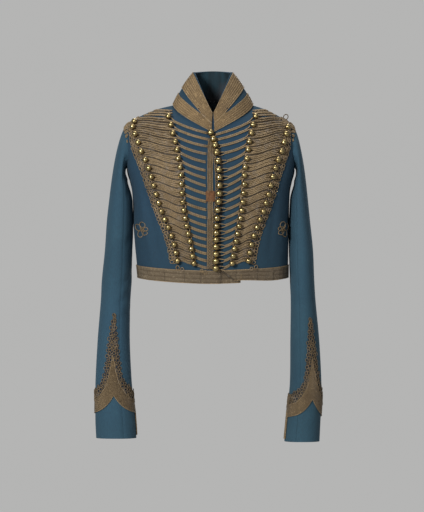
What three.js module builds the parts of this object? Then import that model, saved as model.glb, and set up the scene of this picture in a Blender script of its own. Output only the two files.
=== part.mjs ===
// Napoleon jacket: a short dolman of blue cloth with gold frogging, kept filled out as if worn.
// Millimetres. Z is up and the front faces -Y. The origin is the middle of the neck, at shoulder height.
// Places on the body are a turn (degrees from the centre front, + toward +X) and a drop (0 neck, 1 hem).
import * as THREE from "three";

// Thickness of cloth and trimming, and the gap at a seam
const CLOTH = 2;
const COLLAR_CLOTH = 3;
const SEAM = 0.3;
const LIFT = 0.8;
const LACE = 1.4;
const CORD_EDGE = 1.1;
const CORD_CREST = 2.2;
const CORD_HALF_HEIGHT = 3.3;
const PATCH_THICKNESS = 0.9;

// Buttons
const BUTTON_RADIUS = 6.9;
const SHANK_RADIUS = 1.6;
const SHANK_FOOT = 0.62;
const SHANK_HEIGHT = 2;
const BUTTON_SIDES = 8;
const SIDE_BUTTON_HALF_WIDTH = 6;
const SIDE_BUTTON_HEIGHT = 10;
const LINK_HALF_WIDTH = 1.2;
const LINK_HEIGHT = 1.6;
const BARS = 19;
const FIRST_OUTER_BUTTON = { right: 1, left: 2 };

// Front closing: the underlap beyond the upper front's edge, and where it steps down under that front
const UNDERLAP = 13.2;
const STEP_START = 3.4;
const STEP_END = 0.5;
const STEP_DEPTH = 2.6;
const HEM_STEP_DEPTH = 5.4;
const HEM_STEP = { from: 0.88, to: 0.935 };
const BAND_TOP = 0.947;
const BAND_CORNER = 12;
const CORNER_RISE = 0.048;
const STRIP_LIFT = 0.95;
const STRIP = { from: -4.2, to: 0.5, top: 0.075, bottom: 0.94, clear: 2.6 };
const PATCH = { from: -4.9, to: 1.1, top: 0.535, bottom: 0.602 };

// Armhole, as turns and drops on the body
const ARMHOLE = { top: 0.26, bottom: 0.51, front: 28, back: 33 };
const ARMHOLE_STEPS = 8;
const SLEEVE_COLUMNS = 16;
const TOP_SLEEVE_REACH = 112.5;
const HEAD_DROP = 185;

// The body in rings from neck to hem: half width, depths to front and back, squareness and lean
const BODY = [
  { at: 0, width: 84, front: 66, back: 58, square: 2, lean: 0 },
  { at: 0.1, width: 112, front: 76, back: 74, square: 2.15, lean: -4 },
  { at: 0.2, width: 146, front: 86, back: 88, square: 2.35, lean: -7 },
  { at: 0.28, width: 172, front: 95, back: 96, square: 2.5, lean: -7.5 },
  { at: 0.36, width: 182, front: 102, back: 101, square: 2.7, lean: -7 },
  { at: 0.48, width: 178, front: 109, back: 104, square: 2.8, lean: -5 },
  { at: 0.62, width: 165, front: 112, back: 103, square: 2.8, lean: -4 },
  { at: 0.8, width: 162.5, front: 109, back: 96, square: 2.7, lean: -3.5 },
  { at: 1, width: 157, front: 103, back: 90, square: 2.6, lean: 0 },
];
// Heights of the same rings at the front, sides and back, and how pointed their front is
const LEVELS = [
  { at: 0, front: -47, side: 14, back: 24, point: 1 },
  { at: 0.1, front: -66, side: 6, back: 8, point: 0.7 },
  { at: 0.2, front: -84, side: -9, back: -14, point: 0.4 },
  { at: 0.28, front: -102, side: -26, back: -36, point: 0.25 },
  { at: 0.36, front: -122, side: -56, back: -62, point: 0.15 },
  { at: 0.48, front: -152, side: -105, back: -105, point: 0.1 },
  { at: 0.62, front: -196, side: -168, back: -168, point: 0 },
  { at: 0.8, front: -263, side: -250, back: -248, point: 0 },
  { at: 1, front: -360, side: -347, back: -345, point: 0 },
];

// Broad soft folds in the back and sides: middle, spread and depth
const FOLDS = [
  { turn: 128, drop: 0.66, across: 13, along: 0.11, depth: 3.2 },
  { turn: 158, drop: 0.8, across: 11, along: 0.13, depth: 2.6 },
  { turn: 196, drop: 0.72, across: 12, along: 0.12, depth: 2.4 },
  { turn: 234, drop: 0.64, across: 14, along: 0.1, depth: 3.4 },
  { turn: 180, drop: 0.3, across: 22, along: 0.06, depth: 2.2 },
  { turn: -74, drop: 0.7, across: 9, along: 0.12, depth: 0.9 },
  { turn: 76, drop: 0.74, across: 9, along: 0.1, depth: 0.9 },
];

// Turn of the upper front's edge and of the centre buttons at each drop
const EDGE = [
  { at: 0, turn: 0.5 },
  { at: 0.1, turn: 4.5 },
  { at: 0.22, turn: 7.5 },
  { at: 0.36, turn: 9 },
  { at: 0.55, turn: 9.4 },
  { at: 0.75, turn: 8.2 },
  { at: 1, turn: 7.6 },
];
const BUTTON_LINE = [
  { at: 0, turn: -4 },
  { at: 1, turn: 1 },
  { at: 2, turn: 2.2 },
  { at: 5, turn: 3.8 },
  { at: 8, turn: 4.3 },
  { at: 10, turn: 3.3 },
  { at: 13, turn: 2.3 },
  { at: 18, turn: 2 },
];

// The frogging, bar by bar: drop at the centre, place of the two outer button columns, width of the loops
const FROGGING = [
  { at: 0, middle: 0.031, inTurn: 55, inDrop: 0.085, outTurn: 79, outDrop: 0.208, loops: 4 },
  { at: 1, middle: 0.091, inTurn: 42.9, inDrop: 0.126, outTurn: 69.8, outDrop: 0.241, loops: 6 },
  { at: 2, middle: 0.168, inTurn: 34.5, inDrop: 0.175, outTurn: 64.1, outDrop: 0.267, loops: 8 },
  { at: 3, middle: 0.242, inTurn: 28.2, inDrop: 0.226, outTurn: 56.2, outDrop: 0.289, loops: 9 },
  { at: 4, middle: 0.312, inTurn: 24.4, inDrop: 0.275, outTurn: 50, outDrop: 0.32, loops: 9.5 },
  { at: 6, middle: 0.444, inTurn: 20.6, inDrop: 0.391, outTurn: 42.3, outDrop: 0.4, loops: 9.3 },
  { at: 8, middle: 0.554, inTurn: 20.5, inDrop: 0.508, outTurn: 39.1, outDrop: 0.496, loops: 8.2 },
  { at: 10, middle: 0.652, inTurn: 20.7, inDrop: 0.615, outTurn: 38, outDrop: 0.591, loops: 7.4 },
  { at: 12, middle: 0.743, inTurn: 19.3, inDrop: 0.705, outTurn: 35.1, outDrop: 0.68, loops: 6.4 },
  { at: 14, middle: 0.812, inTurn: 17.3, inDrop: 0.786, outTurn: 30.7, outDrop: 0.76, loops: 6 },
  { at: 16, middle: 0.875, inTurn: 15.4, inDrop: 0.854, outTurn: 27.1, outDrop: 0.839, loops: 5.8 },
  { at: 18, middle: 0.934, inTurn: 13.9, inDrop: 0.915, outTurn: 25.2, outDrop: 0.907, loops: 5.6 },
];

// Collar: the ring along its top edge, and how high its laces lie
const COLLAR_TOP = { width: 40, front: 57, back: 49, frontZ: -8, sideZ: 84, backZ: 88, flare: -3.5 };
const COLLAR_SPLIT = 0.3;
const LOWER_LACE = { from: 0.03, to: 0.39, merged: 0.47 };
const UPPER_LACE = { from: 0.51, to: 0.97 };
const MERGE_TURN = 30;
const COLLAR_UPS = [0, 0.35, 0.68, 1];
const COLLAR_LIFT = 0.5;

// Sleeves below the head: inner and outer edge, middle and half depth at each distance below the neck
const SLEEVES = {
  right: [
    { at: 185, inner: 169.4, outer: 218, middle: 2, depth: 60 },
    { at: 227, inner: 168.4, outer: 222.6, middle: 0, depth: 60 },
    { at: 290, inner: 169.8, outer: 226.8, middle: -4, depth: 59 },
    { at: 353, inner: 170.3, outer: 233, middle: -9, depth: 57 },
    { at: 395, inner: 173, outer: 235, middle: -13, depth: 55 },
    { at: 479, inner: 174, outer: 241.5, middle: -21, depth: 51 },
    { at: 563, inner: 170, outer: 245.7, middle: -29, depth: 48 },
    { at: 605, inner: 166, outer: 245.7, middle: -33, depth: 47 },
    { at: 647, inner: 162, outer: 245.7, middle: -36, depth: 47 },
    { at: 682, inner: 160, outer: 244, middle: -38, depth: 47 },
  ],
  left: [
    { at: 185, inner: 161.9, outer: 199.5, middle: 3, depth: 61 },
    { at: 227, inner: 160.8, outer: 203.7, middle: 1, depth: 61 },
    { at: 290, inner: 159.8, outer: 210, middle: -3, depth: 60 },
    { at: 353, inner: 161.4, outer: 212.5, middle: -8, depth: 58 },
    { at: 395, inner: 163, outer: 215, middle: -12, depth: 56 },
    { at: 479, inner: 162, outer: 222.6, middle: -20, depth: 52 },
    { at: 563, inner: 161, outer: 226.8, middle: -28, depth: 49 },
    { at: 605, inner: 157.5, outer: 226.8, middle: -32, depth: 48 },
    { at: 647, inner: 153, outer: 224.7, middle: -35, depth: 47 },
    { at: 689, inner: 149, outer: 222.6, middle: -37, depth: 47 },
  ],
};
const SLEEVE_SQUARE = 2.25;
const SLEEVE_HEAD_ROWS = [0, 0.07, 0.18, 0.33, 0.5, 0.68, 0.85];
const SLEEVE_ROWS = 11;

// Cuff lace, by how far round the sleeve from its front: upper edge of the loops, of the lace, and lower edge
const CUFF_SHIFT = { right: 0, left: 8 };
const CUFF_FRONT = { right: -90, left: -67.5 };
const CUFF_LACE = [
  { at: 0, loops: 424, upper: 508, lower: 592 },
  { at: 9, loops: 446, upper: 541, lower: 602 },
  { at: 18, loops: 500, upper: 566, lower: 610 },
  { at: 30, loops: 552, upper: 582, lower: 618 },
  { at: 50, loops: 573, upper: 597, lower: 625 },
  { at: 72, loops: 580, upper: 603, lower: 628 },
  { at: 90, loops: 584, upper: 606, lower: 630 },
  { at: 180, loops: 596, upper: 612, lower: 634 },
];
const CUFF_TURNS = [0, 9, 18, 30, 45, 67.5, 90, 112.5, 135, 157.5, 180];
const LOOP_LACE = 1.1;
const KNOT = { turn: 59, drop: 0.785, radius: 14, lobes: 3, points: 18, waist: 0.5, thickness: 1.6 };

// Rows of the body's cloth above and below the armhole, and the columns across it
const ROWS_ABOVE = [0, 0.045, 0.087, 0.128, 0.185];
const ROWS_BELOW = [0.57, 0.65, 0.73, 0.81, 0.88, 0.947, 1];
const FRONT_COLUMNS = 11;
const FIELD_COLUMNS = 4;
const BAR_STEP = 8;
const BAR_CLEAR = 0.6;
const BUTTON_CLEAR = 3.3;
const NOTCH = 0.45;
const BACK_COLUMNS = 18;

const SIDES = [
  { name: "right", sign: -1 },
  { name: "left", sign: 1 },
];

function makeMaterial(name, color, roughness, metalness) {
  return new THREE.MeshStandardMaterial({ name, color, roughness, metalness });
}
const clothMaterial = makeMaterial("blue_cloth", 0x3f6472, 0.9, 0);
const laceMaterial = makeMaterial("gold_lace", 0x9a7b45, 0.6, 0.3);
const brassMaterial = makeMaterial("brass", 0xb08a4a, 0.35, 0.9);
const patchMaterial = makeMaterial("brown_patch", 0x6b4a3a, 0.9, 0);

const jacket = new THREE.Group();

// Smooth value of one column of a table at a place between its rows
function column(table, name, at) {
  const last = table.length - 1;
  let k = 0;
  while (k < last - 1 && at > table[k + 1].at) k += 1;
  const slope = (i) => {
    const before = table[Math.max(i - 1, 0)];
    const after = table[Math.min(i + 1, last)];
    return (after[name] - before[name]) / (after.at - before.at);
  };
  const from = table[k];
  const to = table[k + 1];
  const span = to.at - from.at;
  const share = (at - from.at) / span;
  const rest = 1 - share;
  return (
    from[name] * (1 + 2 * share) * rest * rest +
    to[name] * share * share * (3 - 2 * share) +
    span * share * rest * (slope(k) * rest - slope(k + 1) * share)
  );
}

function smoothStep(from, to, value) {
  return THREE.MathUtils.smoothstep(value, from, to);
}

// Adds one closed mesh, with its faces turned outward
function addSolid(name, points, faces, material) {
  let volume = 0;
  for (let k = 0; k < faces.length; k += 3) {
    const [a, b, c] = [points[faces[k]], points[faces[k + 1]], points[faces[k + 2]]];
    volume += a.dot(b.clone().cross(c));
  }
  const index = volume < 0 ? [...faces].reverse() : faces;
  const geometry = new THREE.BufferGeometry();
  const numbers = points.flatMap((point) => [point.x, point.y, point.z]);
  geometry.setAttribute("position", new THREE.Float32BufferAttribute(numbers, 3));
  geometry.setIndex(index);
  geometry.computeVertexNormals();
  const mesh = new THREE.Mesh(geometry, material);
  mesh.name = name;
  jacket.add(mesh);
}

// A wall between two grids of points, closed along its edges, or a ring that meets itself
function addWall(name, outer, inner, material, ring = false) {
  const rows = outer.length;
  const columns = outer[0].length;
  const strips = ring ? columns : columns - 1;
  const faces = [];
  const top = (i, j) => i * columns + (j % columns);
  const low = (i, j) => rows * columns + top(i, j);
  const quad = (a, b, c, d) => faces.push(a, b, c, a, c, d);
  for (let j = 0; j < strips; j += 1) {
    for (let i = 0; i < rows - 1; i += 1) {
      quad(top(i, j), top(i + 1, j), top(i + 1, j + 1), top(i, j + 1));
      quad(low(i, j), low(i, j + 1), low(i + 1, j + 1), low(i + 1, j));
    }
    quad(top(0, j), top(0, j + 1), low(0, j + 1), low(0, j));
    quad(top(rows - 1, j), low(rows - 1, j), low(rows - 1, j + 1), top(rows - 1, j + 1));
  }
  for (let i = 0; i < rows - 1 && !ring; i += 1) {
    const end = columns - 1;
    quad(top(i, 0), low(i, 0), low(i + 1, 0), top(i + 1, 0));
    quad(top(i, end), top(i + 1, end), low(i + 1, end), low(i, end));
  }
  addSolid(name, [...outer.flat(), ...inner.flat()], faces, material);
}

// A tube through rings of points, closed by a flat fan at each end
function addTube(name, rings, material) {
  const sides = rings[0].length;
  const faces = [];
  for (let i = 0; i < rings.length - 1; i += 1) {
    for (let j = 0; j < sides; j += 1) {
      const a = i * sides + j;
      const b = i * sides + ((j + 1) % sides);
      faces.push(a, b, b + sides, a, b + sides, a + sides);
    }
  }
  const end = (rings.length - 1) * sides;
  for (let j = 1; j < sides - 1; j += 1) {
    faces.push(0, j + 1, j);
    faces.push(end, end + j, end + j + 1);
  }
  addSolid(name, rings.flat(), faces, material);
}

// A turn brought into the half circle on either side of the centre front
const wrapTurn = (turn) => ((((turn + 180) % 360) + 360) % 360) - 180;

// The outside of the body's cloth
function bodyPoint(turn, drop) {
  const at = (name) => column(BODY, name, drop);
  const angle = THREE.MathUtils.degToRad(turn);
  const s = Math.sin(angle);
  const c = Math.cos(angle);
  const square = at("square");
  const reach = (Math.abs(s) ** square + Math.abs(c) ** square) ** (-1 / square);
  const share = Math.min(Math.abs(wrapTurn(turn)) / 90, 1);
  const level = (name) => column(LEVELS, name, drop);
  const point = level("point");
  const dip = c > 0 ? c * c * (1 - point) + point * (1 - share) ** 1.1 : c * c;
  const side = level("side");
  let pull = 1;
  for (const fold of FOLDS) {
    const away = wrapTurn(turn - fold.turn);
    const spread = (away / fold.across) ** 2 + ((drop - fold.drop) / fold.along) ** 2;
    pull -= (fold.depth / at("width")) * Math.exp(-spread);
  }
  return new THREE.Vector3(
    at("lean") * s * s + at("width") * s * reach * pull,
    -(c > 0 ? at("front") : at("back")) * c * reach * pull,
    side + (level(c > 0 ? "front" : "back") - side) * dip,
  );
}

// Rates of change of a surface, for its normal and for lengths along it
function slopes(surface, u, v, stepU, stepV) {
  const along = surface(u + stepU, v).sub(surface(u - stepU, v)).divideScalar(2 * stepU);
  const down = surface(u, v + stepV).sub(surface(u, v - stepV)).divideScalar(2 * stepV);
  return { along, down, normal: along.clone().cross(down).negate().normalize() };
}

function bodySlopes(turn, drop) {
  return slopes(bodyPoint, turn, Math.min(Math.max(drop, 0.002), 0.998), 0.2, 0.002);
}

// At the side and shoulder seams both panels take the seam's own normal, so that their edges are parallel
function seamNormal(turn, drop) {
  const onSeam = Math.abs(Math.abs(wrapTurn(turn)) - 90) < 0.5;
  return bodySlopes(onSeam ? Math.round(turn / 90) * 90 : turn, drop).normal;
}

function bodyPlace(turn, drop, height) {
  return bodyPoint(turn, drop).addScaledVector(seamNormal(turn, drop), height);
}

const seamTurn = (drop, turn) => (SEAM / 2 + 0.05) / bodySlopes(turn, drop).along.length();

// Half turn of the armhole's cut at a drop, toward the front or the back
function armholeCut(drop, reach) {
  const middle = (ARMHOLE.top + ARMHOLE.bottom) / 2;
  const half = (ARMHOLE.bottom - ARMHOLE.top) / 2;
  const away = (drop - middle) / half;
  return Math.abs(away) < 1 ? reach * Math.sqrt(1 - away * away) : 0;
}

// Drop of each row of cloth: above, down the armhole and below
function bodyRows() {
  const middle = (ARMHOLE.top + ARMHOLE.bottom) / 2;
  const half = (ARMHOLE.bottom - ARMHOLE.top) / 2;
  const rows = [...ROWS_ABOVE];
  for (let k = 0; k <= ARMHOLE_STEPS; k += 1) {
    rows.push(middle - half * Math.cos((Math.PI * k) / ARMHOLE_STEPS));
  }
  return [...rows, ...ROWS_BELOW];
}

// Turns across one front, from its front edge out to the side; the right front has the underlap too
function frontTurns(side, drop) {
  const end = 90 - Math.max(armholeCut(drop, ARMHOLE.front), seamTurn(drop, 90));
  const edge = column(EDGE, "turn", drop);
  const first = side.sign > 0 ? edge : STEP_START - edge;
  const turns = [];
  for (let j = 0; j <= FRONT_COLUMNS; j += 1) {
    turns.push(first + ((end - first) * j) / FRONT_COLUMNS);
  }
  if (side.sign < 0) turns.unshift(-(edge + UNDERLAP), STEP_END - edge);
  return turns;
}

// How far the underlap lies under the other front
function stepDepth(side, turn, drop) {
  if (side.sign > 0) return 0;
  const edge = column(EDGE, "turn", drop);
  const depth = STEP_DEPTH + (HEM_STEP_DEPTH - STEP_DEPTH) * smoothStep(HEM_STEP.from, HEM_STEP.to, drop);
  return depth * smoothStep(edge - STEP_START, edge - STEP_END, -turn);
}

// The left front's hem rises to its front corner
function hemDrop(side, turn, drop) {
  if (side.sign < 0) return drop;
  const rise = CORNER_RISE * (1 - smoothStep(7, 17, turn)) + 0.012 * (1 - smoothStep(18, 50, turn));
  return drop - rise * smoothStep(BAND_TOP - 0.02, 1, drop);
}

function frontPlace(side, turn, drop, height) {
  const lowered = hemDrop(side, turn, drop);
  return bodyPlace(side.sign * turn, lowered, height - stepDepth(side, turn, drop));
}

function addFront(side) {
  const line = (drop, height) => frontTurns(side, drop).map((turn) => frontPlace(side, turn, drop, height));
  const grid = (height) => bodyRows().map((drop) => line(drop, height));
  addWall(`front_${side.name}`, grid(0), grid(-CLOTH), clothMaterial);
}

function backTurns(drop) {
  const start = 90 + Math.max(armholeCut(drop, ARMHOLE.back), seamTurn(drop, 90));
  const turns = [];
  for (let j = 0; j <= BACK_COLUMNS; j += 1) {
    turns.push(start + ((360 - 2 * start) * j) / BACK_COLUMNS);
  }
  return turns;
}

function addBack() {
  const line = (drop, height) => backTurns(drop).map((turn) => bodyPlace(turn, drop, height));
  const grid = (height) => bodyRows().map((drop) => line(drop, height));
  addWall("back", grid(0), grid(-CLOTH), clothMaterial);
}

// Collar: from the neck seam up to its top edge, rising from the centre front to the back
function collarPoint(turn, up) {
  const angle = THREE.MathUtils.degToRad(turn);
  const s = Math.sin(angle);
  const c = Math.cos(angle);
  const dip = c > 0 ? 1 - Math.abs(s) : c * c;
  const end = c > 0 ? COLLAR_TOP.frontZ : COLLAR_TOP.backZ;
  const top = new THREE.Vector3(
    COLLAR_TOP.width * s,
    -(c > 0 ? COLLAR_TOP.front : COLLAR_TOP.back) * c,
    COLLAR_TOP.sideZ + (end - COLLAR_TOP.sideZ) * dip,
  );
  const base = bodyPoint(turn, 0);
  base.z += SEAM;
  const point = base.lerp(top, up);
  const hollow = COLLAR_TOP.flare * 4 * up * (1 - up) * Math.abs(s);
  point.x -= Math.sign(s) * hollow;
  return point;
}

function collarPlace(turn, up, height) {
  const safeUp = Math.min(Math.max(up, 0.01), 0.99);
  const { normal } = slopes(collarPoint, turn, safeUp, 0.2, 0.01);
  return collarPoint(turn, up).addScaledVector(normal, -height);
}

// Turns round the collar, which match the cloth's columns at the neck
function collarTurns() {
  const leftSide = frontTurns(SIDES[1], 0);
  const rightSide = [COLLAR_SPLIT, ...frontTurns(SIDES[0], 0).slice(2)];
  const back = backTurns(0);
  return [...leftSide.slice(0, -1), ...back, ...rightSide.reverse().slice(1).map((turn) => 360 - turn)];
}

function addCollar() {
  const turns = collarTurns();
  const grid = (height) => COLLAR_UPS.map((up) => turns.map((turn) => collarPlace(turn, up, height)));
  addWall("collar", grid(0), grid(-COLLAR_CLOTH), clothMaterial);
  const merge = (turn) => 1 - smoothStep(MERGE_TURN * 0.4, MERGE_TURN, Math.min(turn, 360 - turn));
  const lace = (name, ...edges) => {
    const band = (height) => edges.map((edge) => turns.map((turn) => collarPlace(turn, edge(turn), height)));
    addWall(name, band(COLLAR_LIFT + LACE), band(COLLAR_LIFT), laceMaterial);
  };
  const mergedTop = (turn) => LOWER_LACE.to + (LOWER_LACE.merged - LOWER_LACE.to) * merge(turn);
  lace("collar_lace_lower", () => LOWER_LACE.from, () => COLLAR_UPS[1], mergedTop);
  lace("collar_lace_upper", () => UPPER_LACE.from, () => COLLAR_UPS[2], () => UPPER_LACE.to);
}

// Hem band: the lowest rows of each panel, moved out
function addHemBands() {
  const drops = [BAND_TOP, 0.999];
  const band = (name, place, turnsAt) => {
    const grid = (height) => drops.map((drop) => turnsAt(drop).map((turn) => place(turn, drop, height)));
    addWall(name, grid(SEAM + LACE), grid(SEAM), laceMaterial);
  };
  for (const side of SIDES) {
    const shown = (drop) => frontTurns(side, drop).filter((turn) => side.sign < 0 || turn > BAND_CORNER);
    band(`hem_band_${side.name}`, (turn, drop, height) => frontPlace(side, turn, drop, height), shown);
  }
  band("hem_band_back", bodyPlace, backTurns);
}

// Sleeve below the head: rings that follow the table
function sleeveRing(side, angle, down) {
  const table = SLEEVES[side.name];
  const inner = column(table, "inner", down);
  const outer = column(table, "outer", down);
  const s = Math.sin(angle);
  const c = Math.cos(angle);
  const reach = (Math.abs(s) ** SLEEVE_SQUARE + Math.abs(c) ** SLEEVE_SQUARE) ** (-1 / SLEEVE_SQUARE);
  return new THREE.Vector3(
    side.sign * ((inner + outer) / 2 + ((outer - inner) / 2) * c * reach),
    column(table, "middle", down) + column(table, "depth", down) * s * reach,
    -down,
  );
}

// The armhole's edge on the body, a seam's width inside the cut; angle 0 is its top, + toward the back
function armholePlace(side, angle, height, gap = SEAM) {
  const s = Math.sin(angle);
  const c = Math.cos(angle);
  const middle = (ARMHOLE.top + ARMHOLE.bottom) / 2;
  const half = (ARMHOLE.bottom - ARMHOLE.top) / 2;
  const reach = s > 0 ? ARMHOLE.back : ARMHOLE.front;
  const edgeTurn = 90 + reach * s;
  const edgeDrop = middle - half * c;
  const { along, down } = bodySlopes(side.sign * edgeTurn, edgeDrop);
  const turn = edgeTurn - (gap * s) / along.length();
  const drop = edgeDrop + (gap * c) / down.length();
  return bodyPlace(side.sign * turn, drop, height);
}

// Direction in which the sleeve leaves the armhole: along the cloth at the top, straight out at the underarm
function armholeLeave(side, angle) {
  const edge = armholePlace(side, angle, 0);
  const normal = armholePlace(side, angle, 1).sub(edge);
  const middle = (ARMHOLE.top + ARMHOLE.bottom) / 2;
  const inward = bodyPoint(side.sign * 90, middle).sub(edge);
  inward.addScaledVector(normal, -inward.dot(normal)).normalize();
  const share = (1 - Math.cos(angle)) / 2;
  const lift = THREE.MathUtils.degToRad(25 + 85 * share);
  const length = 75 - 25 * share;
  return inward.multiplyScalar(Math.cos(lift) * length).addScaledVector(normal, Math.sin(lift) * length);
}

// Sleeve cloth: along 0 to 1 is the head, 1 to 2 the rest down to the cuff's edge
function sleevePoint(side, turn, along) {
  const angle = THREE.MathUtils.degToRad(turn);
  const table = SLEEVES[side.name];
  const end = table[table.length - 1].at;
  if (along >= 1) return sleeveRing(side, angle, HEAD_DROP + (along - 1) * (end - HEAD_DROP));
  const start = armholePlace(side, angle, 0);
  const leave = armholeLeave(side, angle);
  const finish = sleeveRing(side, angle, HEAD_DROP);
  const fall = sleeveRing(side, angle, HEAD_DROP + 1).sub(finish).multiplyScalar(start.distanceTo(finish));
  const rest = 1 - along;
  return new THREE.Vector3()
    .addScaledVector(start, (1 + 2 * along) * rest * rest)
    .addScaledVector(finish, along * along * (3 - 2 * along))
    .addScaledVector(leave, along * rest * rest)
    .addScaledVector(fall, -along * along * rest);
}

function sleevePlace(side, turn, along, height) {
  const angle = THREE.MathUtils.degToRad(turn);
  if (along === 0) return armholePlace(side, angle, height);
  const surface = (u, v) => sleevePoint(side, u, v);
  const { normal } = slopes(surface, turn, Math.min(along, 1.998), 0.5, 0.001);
  return sleevePoint(side, turn, along).addScaledVector(normal, side.sign * height);
}

function sleeveAlongs() {
  const alongs = [...SLEEVE_HEAD_ROWS];
  for (let k = 0; k <= SLEEVE_ROWS; k += 1) alongs.push(1 + k / SLEEVE_ROWS);
  return alongs;
}

// Each sleeve is cut in two, an outer and an under half
function addSleeve(side) {
  const step = 360 / SLEEVE_COLUMNS;
  const half = (name, from, to) => {
    const turnsAt = (radius) => {
      const seam = THREE.MathUtils.radToDeg(SEAM / 2 / radius);
      const turns = [from + seam];
      for (let turn = from + step; turn < to - 1; turn += step) turns.push(turn);
      return [...turns, to - seam];
    };
    const grid = (height) => sleeveAlongs().map((along) =>
      turnsAt(along < 0.5 ? 24 : 34).map((turn) => sleevePlace(side, turn, along, height)));
    addWall(name, grid(0), grid(-CLOTH), clothMaterial);
  };
  half(`sleeve_${side.name}_outer`, -TOP_SLEEVE_REACH, TOP_SLEEVE_REACH);
  half(`sleeve_${side.name}_under`, TOP_SLEEVE_REACH, 360 - TOP_SLEEVE_REACH);
}

// Cuff lace: a ring round the sleeve that rises to a point of loops at the front
function addCuffLace(side) {
  const table = SLEEVES[side.name];
  const end = table[table.length - 1].at;
  const front = CUFF_FRONT[side.name];
  const turns = [...CUFF_TURNS, ...CUFF_TURNS.slice(1, -1).reverse().map((turn) => -turn)];
  const place = (turn, name, height) => {
    const down = column(CUFF_LACE, name, Math.abs(turn)) + CUFF_SHIFT[side.name];
    return sleevePlace(side, front + turn, 1 + (down - HEAD_DROP) / (end - HEAD_DROP), height);
  };
  const line = (name, height) => turns.map((turn) => place(turn, name, height));
  const outer = [line("loops", LIFT + LOOP_LACE), line("upper", LIFT + LACE), line("lower", LIFT + LACE)];
  const inner = [line("loops", LIFT), line("upper", LIFT), line("lower", LIFT)];
  addWall(`cuff_lace_${side.name}`, outer, inner, laceMaterial, true);
}

// Places along one bar of the frogging, from its centre end to the tip of its loops
function barLine(side, bar) {
  const at = (name) => column(FROGGING, name, bar);
  const middle = at("middle");
  const buttonTurn = column(BUTTON_LINE, "turn", bar);
  const byEdge = column(EDGE, "turn", middle) + BAR_CLEAR;
  const byStrip = Math.max(BAR_CLEAR - STRIP.from, BUTTON_CLEAR - buttonTurn);
  const start = side.sign > 0 ? byEdge : byStrip;
  const steps = Math.max(3, Math.ceil((at("inTurn") - start) / BAR_STEP));
  const places = [];
  for (let k = 0; k <= steps; k += 1) {
    const share = k / steps;
    places.push({
      turn: start + (at("inTurn") - start) * share,
      drop: middle + (at("inDrop") - middle) * share,
    });
  }
  for (let k = 1; k <= FIELD_COLUMNS; k += 1) {
    const share = k / FIELD_COLUMNS;
    places.push({
      turn: at("inTurn") + (at("outTurn") - at("inTurn")) * share,
      drop: at("inDrop") + (at("outDrop") - at("inDrop")) * share,
    });
  }
  return { places, steps, loops: at("loops") };
}

// One side's frogging: bars that join a field of cords, with a scalloped edge of loops
function addFrogging(side) {
  const points = [];
  const faces = [];
  const quad = (a, b, c, d) => faces.push(a, b, c, a, c, d);
  const put = (place, shift, height) => {
    const { down } = bodySlopes(side.sign * place.turn, place.drop);
    const drop = place.drop + shift / down.length();
    points.push(bodyPlace(side.sign * place.turn, drop, height));
    return points.length - 1;
  };
  const bars = [];
  for (let bar = 0; bar < BARS; bar += 1) {
    const { places, steps, loops } = barLine(side, bar);
    const last = places[places.length - 1];
    const limit = 89 - Math.max(armholeCut(last.drop, ARMHOLE.front), 0);
    const tip = { turn: Math.min(last.turn + loops, limit), drop: last.drop };
    const notch = { turn: Math.min(last.turn + loops * NOTCH, limit - BAR_CLEAR), drop: last.drop };
    const upper = [...places, notch].map((place) => put(place, -CORD_HALF_HEIGHT, LIFT + CORD_EDGE));
    const crest = [...places, tip].map((place) => put(place, 0, LIFT + CORD_CREST));
    const lower = [...places, notch].map((place) => put(place, CORD_HALF_HEIGHT, LIFT + CORD_EDGE));
    const upperBase = [...places, notch].map((place) => put(place, -CORD_HALF_HEIGHT, LIFT));
    const lowerBase = [...places, notch].map((place) => put(place, CORD_HALF_HEIGHT, LIFT));
    bars.push({ steps, upper, crest, lower, upperBase, lowerBase });
  }
  bars.forEach(({ steps, upper, crest, lower, upperBase, lowerBase }, bar) => {
    const end = upper.length - 1;
    for (let k = 0; k < end; k += 1) {
      quad(upper[k], crest[k], crest[k + 1], upper[k + 1]);
      quad(crest[k], lower[k], lower[k + 1], crest[k + 1]);
      quad(upperBase[k], upperBase[k + 1], lowerBase[k + 1], lowerBase[k]);
      if (k < steps || bar === 0) quad(upper[k], upper[k + 1], upperBase[k + 1], upperBase[k]);
      if (k < steps || bar === BARS - 1) quad(lower[k], lowerBase[k], lowerBase[k + 1], lower[k + 1]);
    }
    faces.push(upper[0], upperBase[0], crest[0], crest[0], upperBase[0], lowerBase[0]);
    faces.push(crest[0], lowerBase[0], lower[0]);
    faces.push(upper[end], crest[end], upperBase[end], crest[end], lowerBase[end], upperBase[end]);
    faces.push(crest[end], lower[end], lowerBase[end]);
    if (bar === BARS - 1) return;
    const next = bars[bar + 1];
    const from = steps;
    const nextFrom = next.steps;
    for (let k = 0; k <= FIELD_COLUMNS; k += 1) {
      const a = from + k;
      const b = nextFrom + k;
      quad(lower[a], next.upper[b], next.upper[b + 1], lower[a + 1]);
      quad(lowerBase[a], lowerBase[a + 1], next.upperBase[b + 1], next.upperBase[b]);
    }
    quad(lower[from], lowerBase[from], next.upperBase[nextFrom], next.upper[nextFrom]);
    const b = nextFrom + FIELD_COLUMNS + 1;
    quad(lower[end], next.upper[b], next.upperBase[b], lowerBase[end]);
  });
  addSolid(`frogging_${side.name}`, points, faces, laceMaterial);
}

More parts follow.
